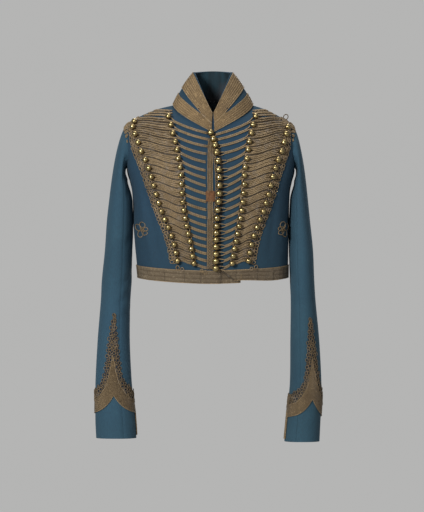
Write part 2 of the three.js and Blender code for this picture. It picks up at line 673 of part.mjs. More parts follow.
// A column of ball buttons, held on one thread that lies on the frogging
function addSideButtons(side, name, turnName, dropName, firstBar) {
  const base = LIFT + CORD_CREST + SEAM;
  const centres = [];
  for (let bar = firstBar; bar < BARS; bar += 1) {
    const turn = side.sign * column(FROGGING, turnName, bar);
    const drop = column(FROGGING, dropName, bar);
    centres.push({ point: bodyPlace(turn, drop, base), normal: bodySlopes(turn, drop).normal });
  }
  const rings = [];
  centres.forEach(({ point, normal }, k) => {
    const before = centres[Math.max(k - 1, 0)].point;
    const after = centres[Math.min(k + 1, centres.length - 1)].point;
    const along = after.clone().sub(before).normalize();
    const across = normal.clone().cross(along).normalize();
    const reach = Math.min(SIDE_BUTTON_HALF_WIDTH, (before.distanceTo(after) / 2) * 0.42);
    const profile = [
      { away: -1, width: LINK_HALF_WIDTH, height: LINK_HEIGHT },
      { away: -0.5, width: SIDE_BUTTON_HALF_WIDTH * 0.9, height: SIDE_BUTTON_HEIGHT },
      { away: 0.5, width: SIDE_BUTTON_HALF_WIDTH * 0.9, height: SIDE_BUTTON_HEIGHT },
      { away: 1, width: LINK_HALF_WIDTH, height: LINK_HEIGHT },
    ];
    for (const { away, width, height } of profile) {
      const at = point.clone().addScaledVector(along, away * reach);
      const corner = (x, y) =>
        at.clone().addScaledVector(across, x * width).addScaledVector(normal, y * height);
      rings.push([corner(-0.7, 0), corner(-1, 0.45), corner(0, 1), corner(1, 0.45), corner(0.7, 0)]);
    }
  });
  addTube(`buttons_${side.name}_${name}`, rings, brassMaterial);
}

// The ball buttons that close the front, each on its shank
function addCentreButtons() {
  const middle = SHANK_HEIGHT + BUTTON_RADIUS;
  const profile = [
    new THREE.Vector2(0, SHANK_FOOT),
    new THREE.Vector2(SHANK_RADIUS, SHANK_FOOT),
    new THREE.Vector2(SHANK_RADIUS, SHANK_HEIGHT + 0.3),
    new THREE.Vector2(BUTTON_RADIUS * 0.72, middle - BUTTON_RADIUS * 0.7),
    new THREE.Vector2(BUTTON_RADIUS, middle),
    new THREE.Vector2(BUTTON_RADIUS * 0.72, middle + BUTTON_RADIUS * 0.7),
    new THREE.Vector2(0, middle + BUTTON_RADIUS),
  ];
  for (let bar = 0; bar < BARS; bar += 1) {
    const turn = column(BUTTON_LINE, "turn", bar);
    const drop = column(FROGGING, "middle", bar);
    const mesh = new THREE.Mesh(new THREE.LatheGeometry(profile, BUTTON_SIDES), brassMaterial);
    mesh.position.copy(bodyPoint(turn, drop));
    mesh.quaternion.setFromUnitVectors(new THREE.Vector3(0, 1, 0), bodySlopes(turn, drop).normal);
    mesh.name = `button_${String(bar + 1).padStart(2, "0")}`;
    jacket.add(mesh);
  }
}

// Strip of lace beside the centre buttons, and the patch sewn over it
function addStrip() {
  const drops = bodyRows().filter((drop) => drop > STRIP.top && drop < STRIP.bottom);
  const rows = [STRIP.top, ...drops, STRIP.bottom];
  const barAt = (drop) => {
    let bar = 0;
    while (bar < BARS - 1 && column(FROGGING, "middle", bar) < drop) bar += 0.5;
    return bar;
  };
  const right = (drop) => Math.min(STRIP.to, column(BUTTON_LINE, "turn", barAt(drop)) - STRIP.clear);
  const line = (turns, drop, height) => turns.map((turn) => bodyPlace(turn, drop, height));
  const grid = (height) => rows.map((drop) => line([STRIP.from, right(drop)], drop, height));
  addWall("front_strip", grid(STRIP_LIFT + LACE), grid(STRIP_LIFT), laceMaterial);
  const patchRows = [PATCH.top, (PATCH.top + PATCH.bottom) / 2, PATCH.bottom];
  const patchTurns = [PATCH.from, (PATCH.from + PATCH.to) / 2, PATCH.to];
  const patch = (height) => patchRows.map((drop) => line(patchTurns, drop, height));
  const base = LIFT + CORD_CREST + 2 * SEAM;
  addWall("patch", patch(base + PATCH_THICKNESS), patch(base), patchMaterial);
}

// Three-lobed knot of braid by each side seam
function addKnot(side) {
  const { along, down } = bodySlopes(side.sign * KNOT.turn, KNOT.drop);
  const place = (x, z, height) =>
    bodyPlace(side.sign * (KNOT.turn + x / along.length()), KNOT.drop + z / down.length(), height);
  const points = [place(0, 0, LIFT + KNOT.thickness), place(0, 0, LIFT)];
  const faces = [];
  for (let k = 0; k < KNOT.points; k += 1) {
    const angle = (2 * Math.PI * k) / KNOT.points;
    const lobe = Math.abs(Math.cos((KNOT.lobes * angle) / 2));
    const radius = KNOT.radius * (KNOT.waist + (1 - KNOT.waist) * lobe);
    const x = radius * Math.sin(angle);
    const z = -radius * Math.cos(angle);
    points.push(place(x, z, LIFT + KNOT.thickness), place(x, z, LIFT));
    const a = 2 + 2 * k;
    const b = 2 + 2 * ((k + 1) % KNOT.points);
    faces.push(0, a, b, 1, b + 1, a + 1, a, a + 1, b + 1, a, b + 1, b);
  }
  addSolid(`knot_${side.name}`, points, faces, laceMaterial);
}

addBack();
for (const side of SIDES) {
  addFront(side);
  addSleeve(side);
  addCuffLace(side);
  addFrogging(side);
  addSideButtons(side, "inner", "inTurn", "inDrop", 0);
  addSideButtons(side, "outer", "outTurn", "outDrop", FIRST_OUTER_BUTTON[side.name]);
  addKnot(side);
}
addCollar();
addHemBands();
addStrip();
addCentreButtons();

export default jacket;
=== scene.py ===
import math

import bpy
import numpy as np
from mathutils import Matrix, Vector


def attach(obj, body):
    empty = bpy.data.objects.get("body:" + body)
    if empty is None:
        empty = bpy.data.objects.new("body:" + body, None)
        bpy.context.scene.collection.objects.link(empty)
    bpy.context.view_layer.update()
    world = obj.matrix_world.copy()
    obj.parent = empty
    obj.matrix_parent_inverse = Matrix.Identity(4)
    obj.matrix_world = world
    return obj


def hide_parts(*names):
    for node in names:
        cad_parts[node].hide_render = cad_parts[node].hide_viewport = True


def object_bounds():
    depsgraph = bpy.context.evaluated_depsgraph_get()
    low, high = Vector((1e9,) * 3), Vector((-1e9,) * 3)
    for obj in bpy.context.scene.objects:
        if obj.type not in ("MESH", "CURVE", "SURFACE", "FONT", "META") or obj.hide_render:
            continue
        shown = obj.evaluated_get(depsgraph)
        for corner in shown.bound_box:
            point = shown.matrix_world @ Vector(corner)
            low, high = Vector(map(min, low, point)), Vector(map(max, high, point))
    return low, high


bl_info = {
    "name": "Napoleon Jacket",
    "version": (1, 0, 0),
    "blender": (4, 5, 0),
    "location": "3D View > Sidebar > Jacket",
    "description": "Cloth, cord, lace and ball buttons of a short hussar jacket, kept filled out as if worn",
    "category": "Object",
}

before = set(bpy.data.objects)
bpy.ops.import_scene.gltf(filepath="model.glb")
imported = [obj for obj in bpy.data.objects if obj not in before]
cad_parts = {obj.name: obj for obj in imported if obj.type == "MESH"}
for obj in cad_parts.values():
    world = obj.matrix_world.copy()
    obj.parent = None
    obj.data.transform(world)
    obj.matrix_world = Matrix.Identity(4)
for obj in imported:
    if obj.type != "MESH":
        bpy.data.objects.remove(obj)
cad_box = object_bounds()

# Sizes are in millimetres and angles in degrees; MM turns them into metres, CM into centimetres of cloth
MM = 0.001
CM = 0.1
SEAM = 0.3
BODY_LENGTH = 345
HEAD_LENGTH, ARM_LENGTH = 150, 500
# Millimetres of cloth for one degree round the body, a sleeve and a cuff
DEG_MM, SLEEVE_DEG_MM, CUFF_DEG_MM = 2.4, 0.55, 0.83


def table(names, *rows):
    """Columns of a small table of sizes, by name."""
    return dict(zip(names.split(), np.array(rows, float).T))


# Places on the body are a turn (degrees from the centre front, + toward +X) and a drop (0 neck, 1 hem).
# The body in rings from neck to hem: half width, depths, squareness and lean, in millimetres
BODY = table(
    "at width front back square lean",
    (0, 84, 66, 58, 2, 0),
    (0.1, 112, 76, 74, 2.15, -4),
    (0.2, 146, 86, 88, 2.35, -7),
    (0.28, 172, 95, 96, 2.5, -7.5),
    (0.36, 182, 102, 101, 2.7, -7),
    (0.48, 178, 109, 104, 2.8, -5),
    (0.62, 165, 112, 103, 2.8, -4),
    (0.8, 162.5, 109, 96, 2.7, -3.5),
    (1, 157, 103, 90, 2.6, 0),
)
# Heights of the same rings at the front, sides and back, and how pointed their front is
LEVELS = table(
    "at front side back point",
    (0, -47, 14, 24, 1),
    (0.1, -66, 6, 8, 0.7),
    (0.2, -84, -9, -14, 0.4),
    (0.28, -102, -26, -36, 0.25),
    (0.36, -122, -56, -62, 0.15),
    (0.48, -152, -105, -105, 0.1),
    (0.62, -196, -168, -168, 0),
    (0.8, -263, -250, -248, 0),
    (1, -360, -347, -345, 0),
)
# Broad soft folds: middle (turn, drop), spread and depth
FOLDS = (
    (128, 0.66, 13, 0.11, 3.2),
    (158, 0.8, 11, 0.13, 2.6),
    (196, 0.72, 12, 0.12, 2.4),
    (234, 0.64, 14, 0.1, 3.4),
    (180, 0.3, 22, 0.06, 2.2),
    (-74, 0.7, 9, 0.12, 0.9),
    (76, 0.74, 9, 0.1, 0.9),
)
# Creases of the body: from (turn, drop) to (turn, drop), half width and depth in millimetres
CREASES = (
    (-90, 0.5, -90, 0.57, 9, 2.4),
    (90, 0.5, 90, 0.57, 9, 2.4),
    (-90, 0.55, -90, 0.78, 7, 1.1),
    (90, 0.55, 90, 0.82, 7, 1.1),
    (-50, 0.6, -39, 0.92, 8, -3.4),
    (-56, 0.62, -47, 0.92, 7, 2.4),
    (-62, 0.55, -78, 0.66, 6, -1.8),
    (-66, 0.66, -84, 0.7, 7, -1.6),
    (-58, 0.88, -84, 0.84, 7, -1.3),
    (48, 0.63, 42, 0.9, 7, -1.5),
    (62, 0.55, 80, 0.63, 6, -1.9),
    (58, 0.72, 84, 0.76, 8, -1.4),
    (60, 0.92, 82, 0.86, 6, -1.1),
    (118, 0.54, 140, 0.68, 9, -2.4),
    (112, 0.62, 150, 0.78, 8, -1.9),
    (124, 0.82, 170, 0.86, 9, -1.7),
    (106, 0.9, 134, 0.93, 7, -1.2),
    (242, 0.53, 218, 0.66, 9, -2.5),
    (250, 0.66, 204, 0.75, 8, -2.1),
    (238, 0.84, 190, 0.9, 10, -1.6),
    (150, 0.24, 176, 0.33, 9, -1.7),
    (210, 0.24, 188, 0.35, 9, -1.5),
    (132, 0.38, 158, 0.46, 10, -1.6),
    (228, 0.4, 206, 0.47, 10, -1.8),
    (168, 0.6, 172, 0.94, 7, 1.3),
    (192, 0.56, 187, 0.92, 8, 1.1),
)
# Creases of a sleeve: from (turn, along) to (turn, along), half width and depth; turn 0 outer, -90 front
SLEEVE_CREASES = (
    (180, 1.02, 180, 1.22, 15, 1.5),
    (180, 0.36, 180, 0.5, 15, 2.4),
    (-150, 0.25, -112, 0.62, 7, -2.0),
    (-168, 0.5, -124, 0.95, 7, -1.8),
    (150, 0.22, 108, 0.66, 8, -2.1),
    (165, 0.55, 122, 1.04, 7, -1.6),
    (-172, 1.12, -118, 1.2, 8, -1.7),
    (-178, 1.3, -104, 1.36, 8, -1.9),
    (-168, 1.37, -92, 1.45, 7, -1.7),
    (-176, 1.47, -112, 1.49, 7, -1.3),
    (120, 1.3, 60, 1.42, 10, 1.6),
    (140, 1.42, 74, 1.5, 9, -1.7),
    (128, 1.52, 92, 1.62, 9, -1.3),
    (30, 0.35, 62, 0.8, 10, -1.3),
    (-24, 0.3, -58, 0.86, 10, -1.2),
    (18, 1.62, 40, 1.9, 9, -1.0),
)
# Turn of the upper front's edge, and of the front buttons, at each drop or bar
EDGE = table("at turn", (0, 0.5), (0.1, 4.5), (0.22, 7.5), (0.36, 9), (0.55, 9.4), (0.75, 8.2), (1, 7.6))
BUTTON_LINE = table("at turn", (0, -4), (1, 1), (2, 2.2), (5, 3.8), (8, 4.3), (10, 3.3), (13, 2.3), (18, 2))
# The frogging, bar by bar: drop at the centre, place of the two outer button columns, width of the loops
FROGGING = table(
    "at middle in_turn in_drop out_turn out_drop loops",
    (0, 0.031, 55, 0.085, 79, 0.208, 4),
    (1, 0.091, 42.9, 0.126, 69.8, 0.241, 6),
    (2, 0.168, 34.5, 0.175, 64.1, 0.267, 8),
    (3, 0.242, 28.2, 0.226, 56.2, 0.289, 9),
    (4, 0.312, 24.4, 0.275, 50, 0.32, 9.5),
    (6, 0.444, 20.6, 0.391, 42.3, 0.4, 9.3),
    (8, 0.554, 20.5, 0.508, 39.1, 0.496, 8.2),
    (10, 0.652, 20.7, 0.615, 38, 0.591, 7.4),
    (12, 0.743, 19.3, 0.705, 35.1, 0.68, 6.4),
    (14, 0.812, 17.3, 0.786, 30.7, 0.76, 6),
    (16, 0.875, 15.4, 0.854, 27.1, 0.839, 5.8),
    (18, 0.934, 13.9, 0.915, 25.2, 0.907, 5.6),
)
BARS = 19
# Rows of cord on the shoulder above the first bar: turn and drop of both ends
SHOULDER_ROWS = ((58, 0.058, 80.5, 0.178), (63, 0.038, 82.5, 0.15), (69.5, 0.027, 84.5, 0.118))
# How far the border of small loops reaches past the outer buttons at each bar, in degrees
BORDER = table(
    "at reach", (0, 8), (1, 15), (2, 14), (3, 12), (4, 11.2), (6, 10.6),
    (8, 9.2), (10, 8.2), (12, 7), (14, 6.6), (18, 6.2),
)
# The armhole: drops of its top and foot, and degrees that it reaches past the side
ARMHOLE = {"top": 0.26, "bottom": 0.51, "front": 28, "back": 33}
ARMHOLE_MIDDLE = (ARMHOLE["top"] + ARMHOLE["bottom"]) / 2
ARMHOLE_HALF = (ARMHOLE["bottom"] - ARMHOLE["top"]) / 2
# The underlap, and the step in the cloth where the upper front starts
UNDERLAP, STEP_START, STEP_END, STEP_DEPTH, HEM_STEP_DEPTH = 13.2, 3.4, 0.5, 2.6, 5.4
# The hem lace: drop of its top, rise of the corner, turn of the frayed threads, and turns of its seams
BAND_TOP, CORNER_RISE, BAND_FRAY = 0.947, 0.048, 20.5
HEM_SEAMS = (-52, -36, -21, -9, 6, 17, 33, 47, 61, 78, 102, 131, 158, 187, 214, 239, 262)
STRIP = {"from": -4.2, "to": 0.5, "top": 0.075, "bottom": 0.94}
PATCH = {"from": -4.9, "to": 1.1, "top": 0.535, "bottom": 0.602}
KNOT = {"turn": {-1: 54.5, 1: 57.5}, "drop": 0.785, "radius": 16.52}
TOP_SLEEVE_REACH = 112.5
HEAD_DROP = 185
SLEEVE_SQUARE = 2.25
# Sleeves by distance below the neck: inner and outer edge, middle and half depth
SLEEVES = {
    -1: table(
        "at inner outer middle depth",
        (185, 169.4, 218, 2, 60),
        (227, 168.4, 222.6, 0, 60),
        (290, 169.8, 226.8, -4, 59),
        (353, 170.3, 233, -9, 57),
        (395, 173, 235, -13, 55),
        (479, 174, 241.5, -21, 51),
        (563, 170, 245.7, -29, 48),
        (605, 166, 245.7, -33, 47),
        (647, 162, 245.7, -36, 47),
        (682, 160, 244, -38, 47),
    ),
    1: table(
        "at inner outer middle depth",
        (185, 161.9, 199.5, 3, 61),
        (227, 160.8, 203.7, 1, 61),
        (290, 159.8, 210, -3, 60),
        (353, 161.4, 212.5, -8, 58),
        (395, 163, 215, -12, 56),
        (479, 162, 222.6, -20, 52),
        (563, 161, 226.8, -28, 49),
        (605, 157.5, 226.8, -32, 48),
        (647, 153, 224.7, -35, 47),
        (689, 149, 222.6, -37, 47),
    ),
}
# Cuff lace by degrees from the sleeve's front: top of the loops, top and foot of the lace
CUFF_SHIFT = {-1: 0, 1: 8}
CUFF_FRONT = {-1: -90, 1: -67.5}
CUFF_LACE = table(
    "at loops upper lower",
    (0, 424, 508, 592),
    (9, 446, 541, 602),
    (18, 500, 566, 610),
    (30, 552, 582, 618),
    (50, 573, 597, 625),
    (72, 580, 603, 628),
    (90, 584, 606, 630),
    (180, 596, 612, 634),
)
COLLAR_TOP = {"width": 40, "front": 57, "back": 49, "front_z": -8, "side_z": 84, "back_z": 88, "flare": -3.5}
COLLAR_CLOTH = 3
SIDES = {"right": -1, "left": 1}


# Sizes along the cloth
def column(rows, name, at):
    """Smooth value of one column of a table at a place between its rows."""
    places, values = rows["at"], rows[name]
    at = np.asarray(at, float)
    k = np.searchsorted(places[1:-1], at, side="left")
    near = np.maximum(np.arange(len(places)) - 1, 0)
    far = np.minimum(np.arange(len(places)) + 1, len(places) - 1)
    slope = (values[far] - values[near]) / (places[far] - places[near])
    span = places[k + 1] - places[k]
    share = (at - places[k]) / span
    rest = 1 - share
    ends = values[k] * (1 + 2 * share) * rest**2 + values[k + 1] * share**2 * (3 - 2 * share)
    return ends + span * share * rest * (slope[k] * rest - slope[k + 1] * share)


def smooth_step(start, end, value):
    share = np.clip((np.asarray(value, float) - start) / (end - start), 0, 1)
    return share * share * (3 - 2 * share)


def wrap_turn(turn):
    return (np.asarray(turn, float) + 180) % 360 - 180


def unit(vectors):
    return vectors / np.maximum(np.linalg.norm(vectors, axis=-1, keepdims=True), 1e-9)


def length(vectors):
    return np.linalg.norm(vectors, axis=-1)


def crease_height(creases, x, z, scale_x, scale_z):
    """Soft troughs and ridges: each follows its own short line and fades toward both ends."""
    height = np.zeros(np.broadcast(x, z).shape)
    for x1, z1, x2, z2, width, depth in creases:
        ax, az = (x2 - x1) * scale_x, (z2 - z1) * scale_z
        px, pz = wrap_turn(x - x1) * scale_x, (z - z1) * scale_z
        share = np.clip((px * ax + pz * az) / (ax * ax + az * az), 0, 1)
        away = (px - share * ax) ** 2 + (pz - share * az) ** 2
        fade = 0.35 + 0.65 * np.sin(np.pi * np.clip(share, 0.04, 0.96))
        height = height + depth * fade * np.exp(-away / width**2)
    return height


# The body
def body_point(turn, drop):
    """The outside of the body's cloth, before its creases."""
    turn, drop = np.broadcast_arrays(np.asarray(turn, float), np.asarray(drop, float))
    width, front, back, square, lean = (column(BODY, name, drop) for name in "width front back square lean".split())
    high_front, side, high_back, point = (column(LEVELS, name, drop) for name in "front side back point".split())
    angle = np.radians(turn)
    s, c = np.sin(angle), np.cos(angle)
    reach = (np.abs(s) ** square + np.abs(c) ** square) ** (-1 / square)
    share = np.minimum(np.abs(wrap_turn(turn)) / 90, 1)
    facing = c > 0
    dip = np.where(facing, c * c * (1 - point) + point * (1 - share) ** 1.1, c * c)
    pull = 1
    for at_turn, at_drop, across, along, depth in FOLDS:
        spread = (wrap_turn(turn - at_turn) / across) ** 2 + ((drop - at_drop) / along) ** 2
        pull = pull - depth / width * np.exp(-spread)
    x = lean * s * s + width * s * reach * pull
    y = -np.where(facing, front, back) * c * reach * pull
    z = side + (np.where(facing, high_front, high_back) - side) * dip
    return np.stack([x, y, z], -1)


def slopes(surface, u, v, step_u, step_v):
    """Rates of change of a surface, and its normal."""
    along = (surface(u + step_u, v) - surface(u - step_u, v)) / (2 * step_u)
    down = (surface(u, v + step_v) - surface(u, v - step_v)) / (2 * step_v)
    return along, down, unit(np.cross(down, along))


def body_slopes(turn, drop):
    turn, drop = np.asarray(turn, float), np.clip(drop, 0.002, 0.998)
    on_seam = np.abs(np.abs(wrap_turn(turn)) - 90) < 0.5
    return slopes(body_point, np.where(on_seam, np.round(turn / 90) * 90, turn), drop, 0.2, 0.002)


def armhole_away(turn, drop):
    """Distance from the armhole's edge in millimetres, roughly."""
    wrapped = wrap_turn(turn)
    reach = np.where(np.abs(wrapped) > 90, ARMHOLE["back"], ARMHOLE["front"])
    return (np.hypot((np.abs(wrapped) - 90) / reach, (drop - ARMHOLE_MIDDLE) / ARMHOLE_HALF) - 1) * 60


def body_crease(turn, drop):
    """Height of the creases, with the grooves of the side seams and the armholes."""
    height = crease_height(CREASES, turn, drop, DEG_MM, 340) * sizes().creases
    away = (np.abs(wrap_turn(turn)) - 90) * DEG_MM
    return height - 0.9 * np.exp(-((away / 2.4) ** 2)) - 0.9 * np.exp(-((armhole_away(turn, drop) / 2.6) ** 2))


def body_place(turn, drop, height):
    """A place on the body's cloth, or at a height above it."""
    turn, drop = np.asarray(turn, float), np.asarray(drop, float)
    normal = body_slopes(turn, drop)[2]
    return body_point(turn, drop) + normal * (np.asarray(height) + body_crease(turn, drop))[..., None]


def on_body(turn, drop, across, below, height):
    """A place on the body moved by millimetres along the cloth, with its normal."""
    turn, drop, across, below, height = np.broadcast_arrays(turn, drop, across, below, height)
    along, down, _ = body_slopes(turn, drop)
    turn = turn + across / length(along)
    drop = np.clip(drop + below / length(down), 0, 1)
    return body_place(turn, drop, height), body_slopes(turn, drop)[2]


def armhole_cut(drop, reach):
    """Degrees that the armhole takes from a panel at a drop."""
    away = np.abs((np.asarray(drop, float) - ARMHOLE_MIDDLE) / ARMHOLE_HALF)
    return np.where(away < 1, reach * np.sqrt(np.maximum(1 - away * away, 0)), 0)


def seam_turn(drop, turn):
    """Half a seam's width in degrees."""
    return (SEAM / 2 + 0.05) / length(body_slopes(np.full(np.shape(drop), float(turn)), drop)[0])


def body_drops(step):
    """Rows of cloth, closer together where the armhole starts and ends."""
    above = np.linspace(0, ARMHOLE["top"], int(90 / step))[:-1]
    beside = ARMHOLE_MIDDLE - ARMHOLE_HALF * np.cos(np.linspace(0, np.pi, int(110 / step)))
    below = np.linspace(ARMHOLE["bottom"], 1, int(200 / step))[1:]
    return np.concatenate([above, beside, below])


def step_depth(sign, turn, drop):
    """How far the underlap lies under the other front."""
    if sign > 0:
        return np.zeros(np.broadcast(turn, drop).shape)
    edge = column(EDGE, "turn", drop)
    depth = STEP_DEPTH + (HEM_STEP_DEPTH - STEP_DEPTH) * smooth_step(0.88, 0.935, drop)
    return depth * smooth_step(0, 1, (-turn - (edge - STEP_START)) / (STEP_START - STEP_END))


def hem_drop(sign, turn, drop):
    """The upper front's hem rises toward its corner."""
    if sign < 0:
        return drop
    rise = CORNER_RISE * (1 - smooth_step(7, 17, turn)) + 0.012 * (1 - smooth_step(18, 50, turn))
    return drop - rise * smooth_step(BAND_TOP - 0.02, 1, drop)


def front_place(sign, turn, drop, height):
    return body_place(sign * turn, hem_drop(sign, turn, drop), height - step_depth(sign, turn, drop))


def front_turns(sign, drops, count):
    end = 90 - np.maximum(armhole_cut(drops, ARMHOLE["front"]), seam_turn(drops, 90))
    edge = column(EDGE, "turn", drops)
    first = edge if sign > 0 else STEP_START - edge
    turns = first[:, None] + (end - first)[:, None] * np.linspace(0, 1, count)
    if sign < 0:
        lap = np.linspace(-(edge + UNDERLAP), STEP_START - edge, 14, axis=1)[:, :-1]
        turns = np.concatenate([lap, turns], 1)
    return turns


def back_turns(drops, count):
    start = 90 + np.maximum(armhole_cut(drops, ARMHOLE["back"]), seam_turn(drops, 90))
    return start[:, None] + (360 - 2 * start)[:, None] * np.linspace(0, 1, count)


# Collar
def collar_point(turn, up):
    """The outside of the collar: up 0 at its foot, 1 at its top edge."""
    turn, up = np.broadcast_arrays(np.asarray(turn, float), np.asarray(up, float))
    angle = np.radians(turn)
    s, c = np.sin(angle), np.cos(angle)
    facing = c > 0
    dip = np.where(facing, 1 - np.abs(s), c * c)
    end = np.where(facing, COLLAR_TOP["front_z"], COLLAR_TOP["back_z"])
    depth = np.where(facing, COLLAR_TOP["front"], COLLAR_TOP["back"])
    side_z = COLLAR_TOP["side_z"]
    top = np.stack([COLLAR_TOP["width"] * s, -depth * c, side_z + (end - side_z) * dip], -1)
    base = body_point(turn, np.zeros(turn.shape)) + np.array([0, 0, SEAM])
    point = base + (top - base) * up[..., None]
    point[..., 0] -= np.sign(s) * COLLAR_TOP["flare"] * 4 * up * (1 - up) * np.abs(s)
    return point


def collar_place(turn, up, height):
    normal = -slopes(collar_point, np.asarray(turn, float), np.clip(up, 0.01, 0.99), 0.2, 0.01)[2]
    return collar_point(turn, up) + normal * np.asarray(height, float)[..., None], normal


# Sleeves
def sleeve_ring(sign, angle, down):
    """The ring of the lower sleeve at a distance below the neck."""
    rows = SLEEVES[sign]
    inner, outer = column(rows, "inner", down), column(rows, "outer", down)
    s, c = np.sin(angle), np.cos(angle)
    reach = (np.abs(s) ** SLEEVE_SQUARE + np.abs(c) ** SLEEVE_SQUARE) ** (-1 / SLEEVE_SQUARE)
    x = sign * ((inner + outer) / 2 + (outer - inner) / 2 * c * reach)
    y = column(rows, "middle", down) + column(rows, "depth", down) * s * reach
    return np.stack(np.broadcast_arrays(x, y, -np.asarray(down, float)), -1)


def armhole_place(sign, angle, height):
    """A place on the armhole's edge, a seam's width inside it."""
    s, c = np.sin(angle), np.cos(angle)
    edge_turn = 90 + np.where(s > 0, ARMHOLE["back"], ARMHOLE["front"]) * s
    edge_drop = ARMHOLE_MIDDLE - ARMHOLE_HALF * c
    along, down, _ = body_slopes(sign * edge_turn, edge_drop)
    turn = edge_turn - SEAM * s / length(along)
    drop = edge_drop + SEAM * c / length(down)
    return body_place(sign * turn, drop, height)


def armhole_leave(sign, angle):
    """The way in which the sleeve leaves the armhole: outward at its top, down along the body at its foot."""
    edge = armhole_place(sign, angle, 0)
    normal = armhole_place(sign, angle, 1) - edge
    inward = body_point(sign * 90, ARMHOLE_MIDDLE) - edge
    inward = unit(inward - (inward * normal).sum(-1, keepdims=True) * normal)
    share = (1 - np.cos(angle)) / 2
    lift = np.radians(25 + 85 * share)[..., None]
    reach = (75 - 25 * share)[..., None]
    return inward * np.cos(lift) * reach + normal * np.sin(lift) * reach


def sleeve_end(sign):
    return SLEEVES[sign]["at"][-1]


def sleeve_point(sign, turn, along):
    """Sleeve cloth: along 0 to 1 is the head, 1 to 2 the rest down to the cuff's edge."""
    turn, along = np.broadcast_arrays(np.asarray(turn, float), np.asarray(along, float))
    angle = np.radians(turn)
    lower = sleeve_ring(sign, angle, HEAD_DROP + np.maximum(along - 1, 0) * (sleeve_end(sign) - HEAD_DROP))
    start = armhole_place(sign, angle, 0)
    leave = armhole_leave(sign, angle)
    finish = sleeve_ring(sign, angle, HEAD_DROP + 0 * angle)
    fall = (sleeve_ring(sign, angle, HEAD_DROP + 1 + 0 * angle) - finish) * length(finish - start)[..., None]
    a = np.minimum(along, 1)[..., None]
    rest = 1 - a
    head = start * (1 + 2 * a) * rest**2 + finish * a * a * (3 - 2 * a) + leave * a * rest**2 - fall * a * a * rest
    return np.where((along >= 1)[..., None], lower, head)


def sleeve_down(along):
    """Millimetres of sleeve above a place."""
    return np.where(along < 1, along * HEAD_LENGTH, HEAD_LENGTH + (along - 1) * ARM_LENGTH)


def sleeve_place(sign, turn, along, height):
    """A place on the sleeve's cloth or above it, with its normal; the left sleeve's creases differ a little."""
    turn, along = np.broadcast_arrays(np.asarray(turn, float), np.asarray(along, float))
    normal = slopes(lambda u, v: sleeve_point(sign, u, v), turn, np.clip(along, 0.002, 1.998), 0.5, 0.001)[2] * sign
    angle = np.radians(turn)
    edge_normal = armhole_place(sign, angle, 1) - armhole_place(sign, angle, 0)
    share = smooth_step(0, 0.06, along)[..., None]
    normal = unit(edge_normal * (1 - share) + normal * share)
    down = sleeve_down(along)
    lines = [(a, sleeve_down(b), c, sleeve_down(d), w, h) for a, b, c, d, w, h in SLEEVE_CREASES]
    if sign > 0:
        lines = [(a * 0.94 + 6, b + 9, c * 1.05, d - 6, w * 1.1, h * 0.9) for a, b, c, d, w, h in lines]
    crease = crease_height(lines, turn, down, SLEEVE_DEG_MM, 1) * sizes().creases * smooth_step(0, 0.12, along)
    crease = crease - 0.8 * np.exp(-(((np.abs(wrap_turn(turn)) - TOP_SLEEVE_REACH) * SLEEVE_DEG_MM / 1.8) ** 2))
    return sleeve_point(sign, turn, along) + normal * (np.asarray(height) + crease)[..., None], normal


def cuff_place(sign, turn, down, height):
    """A place on the lower sleeve by degrees from its front and distance below the neck."""
    along = 1 + (np.asarray(down, float) + CUFF_SHIFT[sign] - HEAD_DROP) / (sleeve_end(sign) - HEAD_DROP)
    return sleeve_place(sign, CUFF_FRONT[sign] + np.asarray(turn, float), along, height)


# Meshes
def wall(outer, inner, ring=False):
    """A closed wall between two grids of points, with its map in centimetres and its inner face marked."""
    rows, count = outer.shape[:2]
    points = np.concatenate([outer.reshape(-1, 3), inner.reshape(-1, 3)])
    index = np.arange(rows * count).reshape(rows, count)
    spread = outer
    if ring:
        index = np.concatenate([index, index[:, :1]], 1)
        spread = np.concatenate([outer, outer[:, :1]], 1)
    middle = spread[rows // 2]
    u = np.concatenate([[0], np.cumsum(length(np.diff(middle, axis=0)))]) * CM
    v = np.concatenate([[0], np.cumsum(length(np.diff(outer[:, count // 2], axis=0)))]) * CM
    chart = np.stack(np.broadcast_arrays(u[None, :], v[:, None]), -1)

    def quads(grid, flip=False):
        corners = [grid[:-1, :-1], grid[1:, :-1], grid[1:, 1:], grid[:-1, 1:]]
        corners = corners[::-1] if flip else corners
        return np.stack(corners, 2).reshape((-1, 4) + grid.shape[2:])

    low = index + rows * count
    faces = [quads(index), quads(low, True)]
    charts = [quads(chart), quads(chart, True)]
    rims = [(np.s_[0], True), (np.s_[rows - 1], False)]
    if not ring:
        rims += [(np.s_[:, 0], False), (np.s_[:, -1], True)]
    for edge, flip in rims:
        faces.append(quads(np.stack([index[edge], low[edge]]), flip))
        charts.append(quads(np.stack([chart[edge], chart[edge]]), flip))
    slots = np.concatenate([np.full(len(group), int(k == 1)) for k, group in enumerate(faces)])
    return points, np.concatenate(faces), np.concatenate(charts), slots


